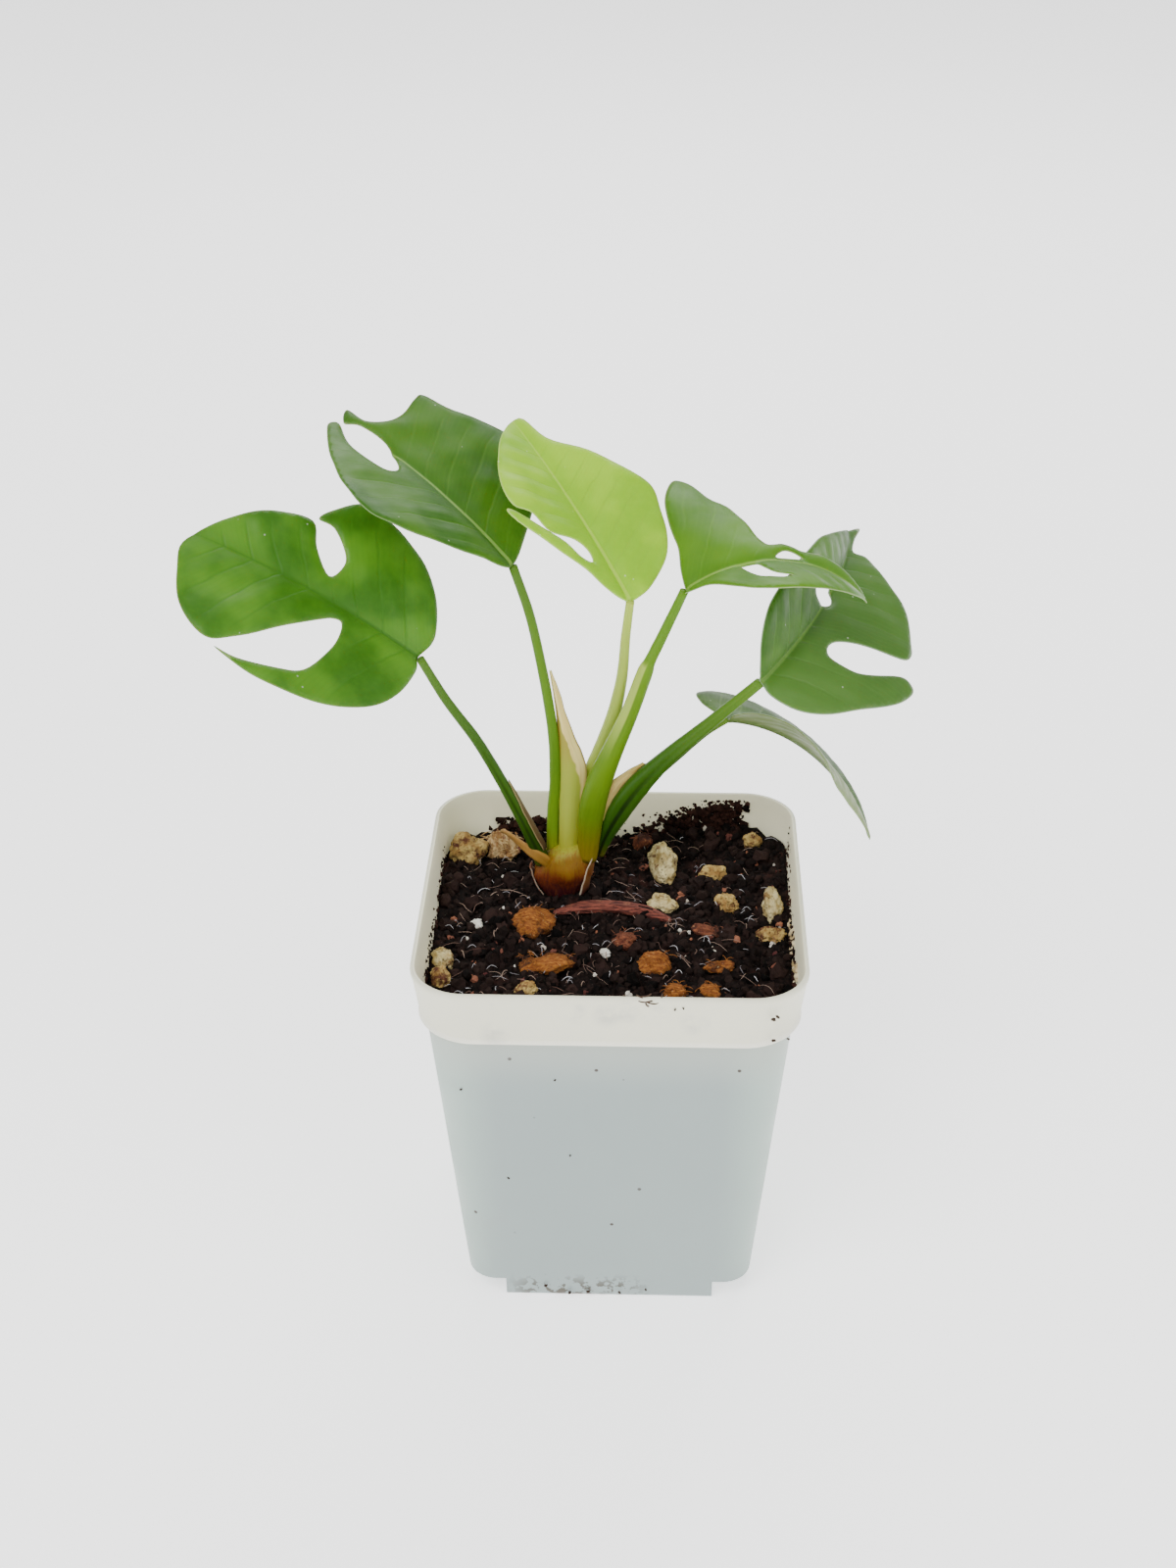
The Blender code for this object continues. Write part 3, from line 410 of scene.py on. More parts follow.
# Outline of the pot from its outer foot up over the rim and down inside: for each stretch, a half
# width, a corner radius and a level, and what each ring adds to them
BAND_FOOT = POT_HEIGHT - BAND_HEIGHT
POT_OUTLINE = (
    (
        (BODY_FOOT_HALF, BODY_FOOT_RADIUS, 0.0),
        (-0.7, 0.0, 0.0), (-0.3, 0.0, 0.12), (-0.08, 0.0, 0.45), (0.02, 0.0, 1.0), (1.75, 0.5, 20.0),
        (3.55, 1.1, 40.0),
    ),
    (
        (BODY_TOP_HALF, BODY_TOP_RADIUS, BAND_FOOT),
        (-0.35, -0.1, -4.0), (0.0, 0.0, -0.5), (0.15, 0.5, -0.12), (0.6, 1.4, 0.0),
    ),
    (
        (BAND_FOOT_HALF, BAND_FOOT_RADIUS, BAND_FOOT),
        (-0.25, -0.3, 0.02), (0.05, 0.0, 0.2), (0.15, 0.0, 0.5), (0.05, 0.0, 0.85), (-0.05, 0.0, 1.2),
        (0.5, -0.3, 6.0),
    ),
    (
        (RIM_HALF, RIM_RADIUS, POT_HEIGHT),
        (-0.22, 0.0, -1.5), (-0.02, 0.0, -1.0), (0.0, 0.0, -0.55), (-0.12, -0.1, -0.2), (-0.35, -0.3, -0.03),
        (-0.55, -0.5, 0.0), (-0.8, -0.7, -0.1), (-WALL - 0.05, -0.8, -0.5), (-WALL - 0.3, -0.8, -1.6),
    ),
    (
        (BAND_FOOT_HALF - WALL, BAND_FOOT_RADIUS, BAND_FOOT),
        (0.0, -0.8, 0.4),
    ),
    (
        (BODY_TOP_HALF - WALL, BODY_TOP_RADIUS, BAND_FOOT),
        (0.0, -0.7, -0.9),
    ),
    (
        (BODY_FOOT_HALF - WALL, BODY_FOOT_RADIUS, FLOOR),
        (3.4, 0.3, 40.0 - FLOOR), (-0.2, -0.9, 0.0),
    ),
)


def make_pot():
    rings = []
    for start, *steps in POT_OUTLINE:
        rings += [rounded_square(*[a + b for a, b in zip(start, step)]) for step in steps]
    pot = mesh_object("pot_shell", *loft(rings), plastic_paint())
    shelf_top = NOTCH_HEIGHT + SHELF
    inner = BODY_FOOT_HALF - WALL - 0.35
    shelf = corner_blocks(inner - 4, NOTCH_WIDTH - 3.4, 0.6, shelf_top)
    notches = corner_blocks(BODY_FOOT_HALF, NOTCH_WIDTH, -1.0, NOTCH_HEIGHT)
    drains = []
    for x in (-DRAIN_HOLE_AT, DRAIN_HOLE_AT):
        for y in (-DRAIN_HOLE_AT, DRAIN_HOLE_AT):
            drains.append(loft([circle(DRAIN_HOLE_RADIUS, z, 24, x, y) for z in (2.0, shelf_top + 1.0)]))
    combine(pot, "UNION", mesh_object("shelf", *shelf, None, False))
    combine(pot, "DIFFERENCE", mesh_object("notches", *notches, None, False))
    combine(pot, "DIFFERENCE", mesh_object("drains", *gather(drains), None, False))
    pot.data.polygons.foreach_set("use_smooth", [True] * len(pot.data.polygons))
    pot.data.set_sharp_from_angle(angle=math.radians(40))
    # Inner faces above the floor, which the plastic paint lightens as painted light
    faces_inward = [v.normal.xy.dot(v.co.xy) < -0.2 * v.co.xy.length for v in pot.data.vertices]
    above_floor = [v.co.z > 6 * MM for v in pot.data.vertices]
    put_float(pot, "inside", [float(a and b) for a, b in zip(faces_inward, above_floor)])
    return place(pot, "milky_plastic", "pot")


# Soil


def soil_level(x, y):
    """Level of the mix without its crumbs, heaped up towards the back right corner."""
    heap = 2.2 * min(1.0, max(0.0, (x + y - 36.0) / 20.0))
    return SOIL_LEVEL + crumple(x, y, 0.0, 0.07, 3.0) * 1.2 + heap


def soil_height(x, y):
    lumps = crumple(x, y, 0.0, 0.28, 9.0) + 0.9 * crumple(x, y, 0.0, 0.7, 5.0)
    lumps += 0.55 * crumple(x, y, 0.0, 1.7, 2.0)
    bank = 0.9 * max(0.0, (max(abs(x), abs(y)) - 27.0) / 6.0) if y > 0 else 0.0
    return soil_level(x, y) + lumps + bank


def inner_wall(z):
    """Half width between the inner walls of the band at a level."""
    return BAND_FOOT_HALF - WALL + (RIM_HALF - BAND_FOOT_HALF) * (z - BAND_FOOT) / BAND_HEIGHT


def corner_distance(x, y, half):
    """Distance from the centre of the nearest rounded corner, and 0 along the middle of a wall."""
    return math.hypot(max(0.0, abs(x) - half), max(0.0, abs(y) - half))


def peat_paint():
    paint = Paint("peat", roughness=0.9, specular=0.05)
    grain = paint.noise(900.0, 6.0, roughness=0.7)
    colour = paint.mix(paint.ramp(grain, 0.35, 0.75), (0.003, 0.0025, 0.0025), (0.022, 0.013, 0.011))
    patch = paint.ramp(paint.noise(140.0, 3.0), 0.55, 0.7)
    colour = paint.mix(patch * 0.5, colour, (0.05, 0.018, 0.014))
    fleck = paint.ramp(paint.speckle(1500.0), 0.14, 0.05)
    paint.colour(paint.mix(fleck * 0.3, colour, (0.3, 0.27, 0.25)))
    paint.rough(paint.ramp(grain, 0.3, 0.7, 0.65, 0.95))
    paint.bump(grain, 0.8, 0.0004)
    return paint.material


def make_soil():
    """Rough top with a fine mesh, and plain sides that narrow down inside the pot."""
    edge = BAND_FOOT_HALF - WALL + 0.1
    corner = BAND_FOOT_RADIUS - 0.9
    ring = rounded_square(edge, corner, 0.0, 14, 30)
    step = SOIL_MESH
    flat = [Vector((x, y)) for x, y, _ in ring]
    reach = int(edge / step) + 1
    for ix in range(-reach, reach + 1):
        for iy in range(-reach, reach + 1):
            x = ix * step + 0.5 * step * (iy % 2)
            y = iy * step
            if corner_distance(x, y, edge - corner) < corner - 0.4:
                flat.append(Vector((x, y)))
    count = len(ring)
    edges = [(i, (i + 1) % count) for i in range(count)]
    out = geometry.delaunay_2d_cdt(flat, edges, [], 1, 1e-5)
    points = [(p.x, p.y, soil_height(p.x, p.y)) for p in out[0]]
    faces = [tuple(face) for face in out[2]]
    border = {out[3][k][0]: k for k in range(len(out[0])) if out[3][k] and out[3][k][0] < count}
    previous = [border[i] for i in range(count)]
    for z, half in SOIL_SIDES:
        level = []
        for x, y, _ in ring:
            level.append(len(points))
            points.append((x * half / edge, y * half / edge, z))
        for i in range(count):
            j = (i + 1) % count
            faces.append((previous[j], previous[i], level[i], level[j]))
        previous = level
    faces.append(tuple(reversed(previous)))
    soil = outward(mesh_object("soil_bed", points, faces, peat_paint()))
    return place(soil, "peat", "soil")


def icosphere(subdivisions):
    maker = bmesh.new()
    bmesh.ops.create_icosphere(maker, subdivisions=subdivisions, radius=1.0)
    points = [tuple(v.co) for v in maker.verts]
    faces = [tuple(v.index for v in face.verts) for face in maker.faces]
    maker.free()
    return points, faces


def grain(template, centre, halves, turn, seed, rough, detail=1.6):
    points, faces = template
    spin = Euler(turn).to_matrix()
    made = []
    for x, y, z in points:
        bump = 1.0 + rough * crumple(x, y, z, detail, seed)
        spot = spin @ Vector((x * halves[0] * bump, y * halves[1] * bump, z * halves[2] * bump))
        made.append((centre[0] + spot.x, centre[1] + spot.y, centre[2] + spot.z))
    return made, faces


def in_the_way(x, y, margin):
    """Whether the spot is within the margin of a lump or a chip."""
    for _, px, py, (rx, ry, _), turn, *_ in LUMPS + CHIPS:
        c = math.cos(math.radians(turn))
        s = math.sin(math.radians(turn))
        u = (c * (x - px) + s * (y - py)) / (rx + margin)
        v = (-s * (x - px) + c * (y - py)) / (ry + margin)
        if u * u + v * v < 1.0:
            return True
    return False


def scatter(name, rng, count, size, template, slot, paint, keep_out, sink=0.3, flatten=0.7, margin=0.0):
    """Many small grains in one piece, clear of the crown and of the larger lumps."""
    parts = []
    tones = []
    limit = BAND_FOOT_HALF - WALL - 0.6
    for _ in range(count):
        x = rng.uniform(-limit, limit)
        y = rng.uniform(-limit, limit)
        in_corner = corner_distance(x, y, limit - 9) > 8.8
        if in_corner or math.dist((x, y), CROWN) < keep_out or in_the_way(x, y, margin):
            continue
        radius = size[0] + (size[1] - size[0]) * rng.random() ** 2.2
        halves = [radius * rng.uniform(*span) for span in ((0.7, 1.4), (0.7, 1.2), (flatten, 1.0))]
        turn = [rng.uniform(0, 6) for _ in range(3)]
        centre = (x, y, soil_height(x, y) + radius * (0.5 - sink))
        parts.append(grain(template, centre, halves, turn, rng.uniform(0, 50), 0.7, 1.5))
        tones.append(rng.random())
    return toned_piece(name, parts, tones, paint, slot)


def tone_paint(name, dark, light, scale, roughness=0.85, bump=0.5, specular=0.25):
    paint = Paint(name, roughness=roughness, specular=specular)
    mottle = paint.noise(scale, 5.0, roughness=0.7)
    amount = paint.attribute("tone", "Fac") * 0.6 + mottle * 0.6
    paint.colour(paint.mix(paint.ramp(amount, 0.2, 0.95), dark, light))
    paint.bump(mottle, bump, 0.0003)
    return paint.material


LUMPS = (
    ("pumice_1", -29.0, 24.8, (3.4, 3.1, 3.3), 20, 1),
    ("dry_husk", -21.9, 27.2, (3.3, 3.0, 3.3), -10, 2),
    ("pumice_3", -30.6, -11.6, (1.9, 2.5, 1.9), 8, 3),
    ("pumice_4", 9.4, 21.8, (2.5, 5.0, 3.7), 15, 4),
    ("pumice_5", 9.3, 8.2, (2.7, 2.1, 2.0), -15, 5),
    ("pumice_6", 19.0, 18.0, (2.7, 1.8, 1.6), 5, 6),
    ("pumice_7", 21.5, 8.0, (1.9, 2.5, 2.1), 50, 7),
    ("pumice_8", 30.1, 6.6, (2.0, 3.9, 3.3), -4, 8),
    ("pumice_9", 29.4, -2.4, (2.7, 2.0, 1.8), 12, 9),
    ("pumice_10", 26.9, 27.6, (1.9, 1.7, 1.8), 0, 10),
    ("pumice_11", -15.0, -20.0, (2.1, 1.8, 1.5), 20, 15),
    ("pumice_12", -30.6, -17.4, (1.8, 2.4, 1.8), -6, 16),
    ("perlite_1", -25.3, 0.0, (1.2, 1.1, 1.1), 0, 11),
    ("perlite_2", -1.2, -8.8, (1.0, 0.9, 0.9), 0, 12),
)
CHIPS = (
    ("bark_chip_1", -14.6, -0.4, (3.7, 3.2, 1.9), 28, 10, 21),
    ("bark_chip_2", -12.0, -13.0, (5.3, 2.2, 1.3), -14, -8, 22),
    ("bark_chip_3", 7.9, -12.2, (2.8, 2.4, 1.7), 18, 12, 23),
    ("bark_chip_4", 2.5, -5.4, (2.1, 1.7, 1.2), 40, 6, 24),
    ("bark_chip_5", 17.4, -1.5, (2.6, 1.3, 0.8), -12, 10, 25),
    ("bark_chip_6", 11.8, -20.6, (1.9, 1.5, 1.1), 10, 0, 26),
    ("bark_chip_7", 19.5, -13.0, (2.5, 1.2, 0.8), 5, -6, 27),
    ("bark_chip_8", 5.2, 28.6, (1.7, 1.4, 1.6), 30, 4, 28),
    ("bark_chip_9", 17.9, -21.0, (1.8, 1.4, 1.1), -15, 5, 29),
)
STRIP = ((-11.2, 4.4), (-5.5, 5.6), (1.0, 5.6), (6.3, 4.3), (11.0, 2.4))
STAINED = ("pumice_1", "pumice_6", "pumice_7", "pumice_9", "pumice_10", "pumice_11", "pumice_12")
REDDISH = ("bark_chip_4", "bark_chip_5", "bark_chip_8")


def stone_paint(name, dark, light, stain, amount):
    paint = Paint(name, roughness=0.9, specular=0.2)
    coarse = paint.noise(420.0, 5.0, roughness=0.65)
    pits = paint.speckle(1300.0)
    colour = paint.mix(paint.ramp(coarse, 0.35, 0.62), dark, light)
    soil = paint.ramp(paint.noise(330.0, 6.0, roughness=0.7), amount, amount + 0.13)
    colour = paint.mix(soil, colour, stain)
    # Dark pits: painted shade in the pores that the bump sinks
    colour = paint.mix(paint.ramp(pits, 0.22, 0.05, 0.0, 0.65), colour, (0.05, 0.03, 0.015))
    paint.colour(colour)
    height = coarse + paint.ramp(pits, 0.0, 0.4) * 0.7
    paint.bump(height, 0.9, 0.0005)
    return paint.material


def lump_points(template, x, y, halves, turn, seed, roughness=1.0):
    seat = soil_level(x, y) + 0.45 * halves[2]
    spin = Matrix.Rotation(math.radians(turn), 3, "Z")
    points = []
    for px, py, pz in template:
        bump = 1.0 + 0.34 * crumple(px, py, pz, 1.2, seed * 7.1) + 0.2 * crumple(px, py, pz, 2.9, seed)
        bump += 0.09 * crumple(px, py, pz, 7.0, seed * 2.0) * roughness
        spot = spin @ Vector((px * halves[0] * bump, py * halves[1] * bump, pz * halves[2] * bump))
        points.append((x + spot.x, y + spot.y, seat + spot.z * 0.95))
    return points


def make_lumps():
    cream = stone_paint("pumice", (0.33, 0.23, 0.08), (0.60, 0.51, 0.27), (0.10, 0.035, 0.012), 0.54)
    brown = stone_paint("stained pumice", (0.26, 0.14, 0.04), (0.52, 0.37, 0.13), (0.08, 0.025, 0.014), 0.48)
    white = stone_paint("perlite", (0.55, 0.52, 0.45), (0.82, 0.8, 0.74), (0.4, 0.35, 0.28), 0.62)
    template = icosphere(5)
    for name, x, y, halves, turn, seed in LUMPS:
        if name == "dry_husk":
            continue
        points = lump_points(template[0], x, y, halves, turn, seed)
        if "perlite" in name:
            paint, slot = white, "perlite"
        else:
            paint, slot = (brown if name in STAINED else cream), "pumice"
        place(mesh_object(name + "_stone", points, template[1], paint), slot, name)


def make_husk():
    """Frayed tan husk: a ridged hollow body with painted shade in its folds, and loose fibres round it."""
    paint = Paint("husk fibre", roughness=0.85, specular=0.2)
    strands = paint.noise(1.0, 5.0, vector=paint.scaled(1500.0, 500.0, 420.0), distortion=0.7)
    folds = paint.noise(330.0, 3.0)
    colour = paint.mix(paint.ramp(strands, 0.35, 0.65), (0.30, 0.15, 0.05), (0.66, 0.47, 0.24))
    # Dark red-brown patches: painted shade in the folds of the husk
    colour = paint.mix(paint.ramp(folds, 0.52, 0.62, 0.0, 0.9), colour, (0.10, 0.02, 0.02))
    paint.colour(colour)
    paint.bump(strands, 0.9, 0.0005)
    name, x, y, halves, turn, seed = LUMPS[1]
    template = icosphere(5)
    body = lump_points(template[0], x, y, halves, turn, seed, 1.6)
    crest = soil_level(x, y) + 1.3 * halves[2]
    hollowed = []
    for px, py, pz in body:
        away = math.hypot(px - x - 0.6, py - y + 1.2)
        hollowed.append((px, py, pz - 2.6 * math.exp(-((away / 1.7) ** 2)) * (pz > crest - 3.0)))
    parts = [(hollowed, template[1])]
    rng = random.Random(12)
    for _ in range(70):
        turn_at = rng.uniform(0, 2 * math.pi)
        start = (x + 2.8 * math.cos(turn_at), y + 2.5 * math.sin(turn_at), crest - rng.uniform(0.2, 3.2))
        parts.append(fibre_part(rng, start, rng.uniform(1.2, 3.2), 0.09, rng.uniform(0.2, 0.9)))
    piece = outward(mesh_object("dry_husk_fibre", *gather(parts), paint.material))
    return place(piece, "papery_sheath", name)


def bark_paint(name, dark, light, seed):
    paint = Paint(name, roughness=0.8, specular=0.25)
    moved = paint.scaled(1.0, 3.6, 1.4)
    fibre = paint.noise(900.0, 5.0, vector=moved, roughness=0.7, distortion=0.6)
    patch = paint.noise(260.0 + seed, 4.0)
    colour = paint.mix(paint.ramp(fibre, 0.35, 0.68), dark, light)
    colour = paint.mix(paint.ramp(patch, 0.55, 0.68, 0.0, 0.85), colour, (0.035, 0.012, 0.01))
    colour = paint.mix(paint.ramp(paint.noise(1900.0, 2.0), 0.66, 0.74, 0.0, 0.6), colour, (0.62, 0.42, 0.2))
    paint.colour(colour)
    paint.bump(fibre, 0.9, 0.0005)
    return paint.material


def make_chips():
    orange = bark_paint("orange bark", (0.15, 0.035, 0.006), (0.44, 0.165, 0.03), 0)
    red = bark_paint("brown bark", (0.08, 0.018, 0.012), (0.30, 0.10, 0.045), 30)
    template = icosphere(4)
    rng = random.Random(5)
    for name, x, y, halves, turn, tilt, seed in CHIPS:
        spin = Euler((math.radians(tilt), math.radians(tilt * 1.5), math.radians(turn))).to_matrix()
        thick = halves[2] * 1.25
        seat = soil_level(x, y) + 0.5 * halves[2] + 0.4
        points = []
        for px, py, pz in template[0]:
            ridge = 0.18 * crumple(px * 0.6, py * 4.0, pz, 1.7, seed)
            ridge += 0.34 * crumple(px, py, pz, 1.1, seed * 3.0)
            ridge += 0.10 * crumple(px, py * 3, pz, 5.0, seed)
            bump = (1.0 + ridge) * max(abs(px), abs(py), abs(pz)) ** -0.3
            spot = spin @ Vector((px * halves[0] * bump, py * halves[1] * bump, pz * thick * bump))
            points.append((x + spot.x, y + spot.y, seat + spot.z * 0.9))
        parts = [(points, template[1])]
        for _ in range(int(9 * halves[0])):
            turn_at = rng.uniform(0, 2 * math.pi)
            reach = rng.uniform(0.3, 0.9)
            right = x + reach * halves[0] * math.cos(turn_at)
            back = y + reach * halves[1] * math.sin(turn_at)
            start = (right, back, seat + 0.8 * thick)
            parts.append(fibre_part(rng, start, rng.uniform(0.8, 2.2), 0.07, rng.uniform(0.0, 0.3)))
        paint = red if name in REDDISH else orange
        place(outward(mesh_object(name + "_bark", *gather(parts), paint)), "bark", name)


def make_strip():
    paint = Paint("red bark strip", roughness=0.75, specular=0.3)
    moved = paint.scaled(0.35, 3.0, 2.0)
    grainy = paint.noise(1400.0, 5.0, vector=moved, roughness=0.65, distortion=0.8)
    colour = paint.mix(paint.ramp(grainy, 0.35, 0.66), (0.04, 0.008, 0.008), (0.27, 0.07, 0.045))
    pale = paint.ramp(paint.noise(500.0, 4.0), 0.58, 0.7, 0.0, 0.5)
    paint.colour(paint.mix(pale, colour, (0.38, 0.16, 0.085)))
    paint.bump(grainy, 0.9, 0.0004)
    controls = [(x, y, SOIL_LEVEL + 0.8 + 0.7 * math.sin(i * 0.8)) for i, (x, y) in enumerate(STRIP)]
    path = curve_through(controls, 12)
    rings = []
    for i, (x, y, z) in enumerate(path):
        t = i / (len(path) - 1)
        taper = min(1.0, 0.35 + 3.0 * min(t, 1 - t))
        ring = []
        for k in range(24):
            turn = 2 * math.pi * k / 24
            ridge = 1.0 + 0.13 * math.sin(turn * 7 + 0.8 * math.sin(t * 9))
            ridge += 0.12 * crumple(t * 9, turn, 0, 1.0)
            across = 1.4 * taper * ridge * math.cos(turn)
            ring.append((x + 0.1 * across, y + across, z + 1.0 * taper * ridge * math.sin(turn)))
        rings.append(ring)
    strip = outward(mesh_object("bark_strip", *loft(rings), paint.material))
    return place(strip, "red_bark", "long_bark_strip")


def fibre_part(rng, start, length, thick, lift, sides=4):
    heading = rng.uniform(0, 2 * math.pi)
    bend = rng.uniform(-1.3, 1.3)
    x, y, z = start
    controls = []
    steps = 6
    for i in range(steps + 1):
        controls.append((x, y, z + lift * math.sin(math.pi * i / steps)))
        x += math.cos(heading) * length / steps
        y += math.sin(heading) * length / steps
        heading += bend / steps + rng.uniform(-0.35, 0.35)
    rings = []
    for i, (spot, (_, across, deep)) in enumerate(zip(controls, path_frames(controls))):
        radius = thick * (0.45 if i in (0, steps) else 1.0)
        ring = []
        for k in range(sides):
            turn = 2 * math.pi * k / sides
            offset = across * (math.cos(turn) * radius) + deep * (math.sin(turn) * radius)
            ring.append((spot[0] + offset.x, spot[1] + offset.y, spot[2] + offset.z))
        rings.append(ring)
    return loft(rings)


def make_fibres(name, rng, count, length, thick, paint, slot):
    parts = []
    tones = []
    limit = BAND_FOOT_HALF - WALL - 3
    for _ in range(count):
        x = rng.uniform(-limit, limit)
        y = rng.uniform(-limit, limit)
        size = rng.uniform(*length)
        if math.dist((x, y), CROWN) < 6.5:
            continue
        start = (x, y, soil_height(x, y) + rng.uniform(0.3, 0.9))
        parts.append(fibre_part(rng, start, size, thick * rng.uniform(0.6, 1.3), rng.uniform(0.1, 0.9)))
        tones.append(rng.random())
    return toned_piece(name, parts, tones, paint, slot, smooth=True)


def make_litter():
    rng = random.Random(41)
    small = icosphere(1)
    medium = icosphere(2)
    black = (0.002, 0.0018, 0.0018)
    crumb = tone_paint("peat crumbs", black, (0.022, 0.013, 0.011), 1100.0, specular=0.06)
    scatter("peat_crumbs", rng, 2900, (0.25, 1.2), small, "peat", crumb, 4.6, margin=-0.5)
    clod = tone_paint("coarse peat", black, (0.026, 0.014, 0.012), 800.0, specular=0.06)
    scatter("peat_clods", rng, 330, (0.8, 1.9), medium, "peat", clod, 6.2, margin=1.2)
    red = tone_paint("bark bits", (0.06, 0.012, 0.015), (0.34, 0.13, 0.07), 900.0)
    scatter("bark_bits", rng, 170, (0.25, 0.95), medium, "bark", red, 6.5, 0.2, 0.4, 0.3)
    pale = tone_paint("perlite bits", (0.4, 0.34, 0.28), (0.8, 0.76, 0.68), 900.0)
    scatter("perlite_bits", rng, 60, (0.2, 0.7), medium, "perlite", pale, 6.5, 0.0, margin=0.3)
    strands = tone_paint("coir strands", (0.10, 0.045, 0.035), (0.42, 0.3, 0.24), 500.0, 0.8, 0.1)
    make_fibres("coir_fibres", rng, 250, (1.2, 5.0), 0.055, strands, "bark")
    roots = tone_paint("fine roots", (0.3, 0.27, 0.3), (0.6, 0.59, 0.62), 500.0, 0.7, 0.1)
    make_fibres("fine_roots", rng, 170, (0.8, 3.2), 0.055, roots, "perlite")


def wall_crumb(rng, template, index):
    """One fine crumb on the back wall, or on the right or left one."""
    lift = rng.uniform(0, 1) ** 1.8 * 8.0
    side = rng.random()
    along = rng.uniform(-24, 24)
    size = rng.uniform(0.12, 0.6) * (1.3 - 0.08 * lift)
    if side < 0.68:
        along = rng.triangular(6, 26.0, 22) if index % 4 else rng.uniform(-24, 25)
        lift *= 0.5 + 0.5 * max(0.0, along) / 24
        z = min(soil_level(along, 30.0) + lift, POT_HEIGHT - 1.5)
        centre = (along, inner_wall(z) - 0.1, z)
    else:
        right = side < 0.86
        lift *= 0.45 + 0.4 * max(0.0, along) / 24 if right else 0.5
        way = 1.0 if right else -1.0
        z = min(soil_level(30.0 * way, along) + lift, POT_HEIGHT - 1.5)
        centre = (way * (inner_wall(z) - 0.1), along, z)
    turn = (rng.uniform(0, 6), 0, rng.uniform(0, 6))
    return grain(template, centre, (size, size, size * 0.8), turn, index, 0.8)


def wall_clod(rng, template, index):
    """One coarse clod on the back wall, behind the left stalks or at the back right."""
    right = index % 3
    along = rng.triangular(3, 27, 21) if right else rng.triangular(-27, -11, -15)
    lift = rng.random() ** 1.2 * (2.2 + (0.16 * along if right else 2.0))
    size = rng.uniform(0.45, 1.15)
    z = soil_level(along, 30.0) + lift
    turn = (rng.uniform(0, 6), 0, rng.uniform(0, 6))
    centre = (along, inner_wall(z) - 0.3, z)
    return grain(template, centre, (size, size * 0.7, size * 0.8), turn, index * 3.1, 1.0)


def wall_dirt():
    """Soil that sticks to the inner walls, thickest at the back right."""
    rng = random.Random(77)
    template = icosphere(1)
    parts = []
    tones = []
    for make, count in ((wall_crumb, 1150), (wall_clod, 230)):
        for index in range(count):
            parts.append(make(rng, template, index))
            tones.append(rng.random())
    paint = tone_paint("wall dirt", (0.003, 0.002, 0.002), (0.04, 0.016, 0.012), 900.0, specular=0.06)
    return toned_piece("wall_dirt", parts, tones, paint, "peat")


def wall_grit():
    """Cream grit along the inner face of the right wall."""
    rng = random.Random(9)
    template = icosphere(2)
    parts = []
    tones = []
    for index in range(46):
        y = rng.uniform(-24, 4)
        z = SOIL_LEVEL + 0.6 + rng.uniform(0, 1) ** 1.5 * 3.0
        size = rng.uniform(0.25, 0.75)
        centre = (inner_wall(z) - 0.15, y, z)
        parts.append(grain(template, centre, (size * 0.7, size, size), (0, 0, 0), index, 0.8))
        tones.append(rng.random())
    paint = tone_paint("wall grit", (0.42, 0.3, 0.14), (0.7, 0.6, 0.4), 900.0)
    return toned_piece("wall_grit", parts, tones, paint, "pumice")


SPECKS = (
    (28.5, -34.6, 71.8, 0.35), (29.1, -34.5, 72.3, 0.3), (12.9, -34.8, 74.0, 0.2), (11.5, -34.8, 73.7, 0.2),
    (-12.0, -34.7, 75.5, 0.3), (28.6, -34.1, 66.9, 0.3), (31.2, -33.6, 66.9, 0.25), (-18.4, -29.4, 31.1, 0.2),
    (-7.0, -29.9, 37.1, 0.2), (-9.5, -31.6, 55.6, 0.2), (-26.3, -31.3, 52.9, 0.2), (33.9, 12.0, 72.0, 0.4),
    (34.1, 16.0, 73.0, 0.3), (34.2, 4.0, 73.0, 0.35), (34.0, -8.0, 71.0, 0.3), (-12.0, -27.3, 3.0, 0.3),
    (-4.0, -27.2, 1.6, 0.3), (2.0, -27.2, 1.5, 0.25), (7.0, -27.3, 2.4, 0.25), (-7.5, -27.2, 1.2, 0.35),
)
ROOTLET = (
    (
        (4.8, -34.4, 76.4), (5.8, -34.6, 75.9), (6.9, -34.95, 75.2), (8.2, -34.95, 75.0),
        (9.0, -34.7, 75.6), (9.3, -34.2, 76.6),
    ),
    ((5.6, -34.5, 76.1), (6.6, -34.6, 76.3), (7.4, -34.3, 76.6)),
    ((5.2, -34.9, 75.5), (6.2, -35.0, 75.3), (7.6, -35.0, 75.6)),
    ((6.4, -34.9, 75.4), (6.6, -35.0, 74.7), (7.0, -35.0, 74.4)),
)


def tube(path, radius, sides):
    """Parts of an open tube of one radius along the path."""
    rings = []
    for spot, (_, across, deep) in zip(path, path_frames(path)):
        turns = [2 * math.pi * k / sides for k in range(sides)]
        offsets = [across * (radius * math.cos(t)) + deep * (radius * math.sin(t)) for t in turns]
        rings.append([tuple(Vector(spot) + offset) for offset in offsets])
    return loft(rings)


def rim_dirt():
    """Soil specks on the outside of the pot, and a thin rootlet that hangs over the front of the rim."""
    paint = tone_paint("soil specks", (0.01, 0.007, 0.006), (0.07, 0.04, 0.025), 900.0)
    template = icosphere(2)
    specks = []
    for index, (x, y, z, size) in enumerate(SPECKS):
        halves = (size * 1.3, size * 0.8, size * 0.7)
        specks.append(grain(template, (x, y, z), halves, (0, 0.6 * index, 0), index, 0.9))
    toned_piece("pot_specks", specks, [0.4] * len(specks), paint, "peat")
    strands = [tube(curve_through(controls, 6), 0.14, 6) for controls in ROOTLET]
    toned_piece("rim_rootlet", strands, [0.8] * len(strands), paint, "bark", smooth=True)


# Crown, stalks and sheaths

PATH_STEPS = 10


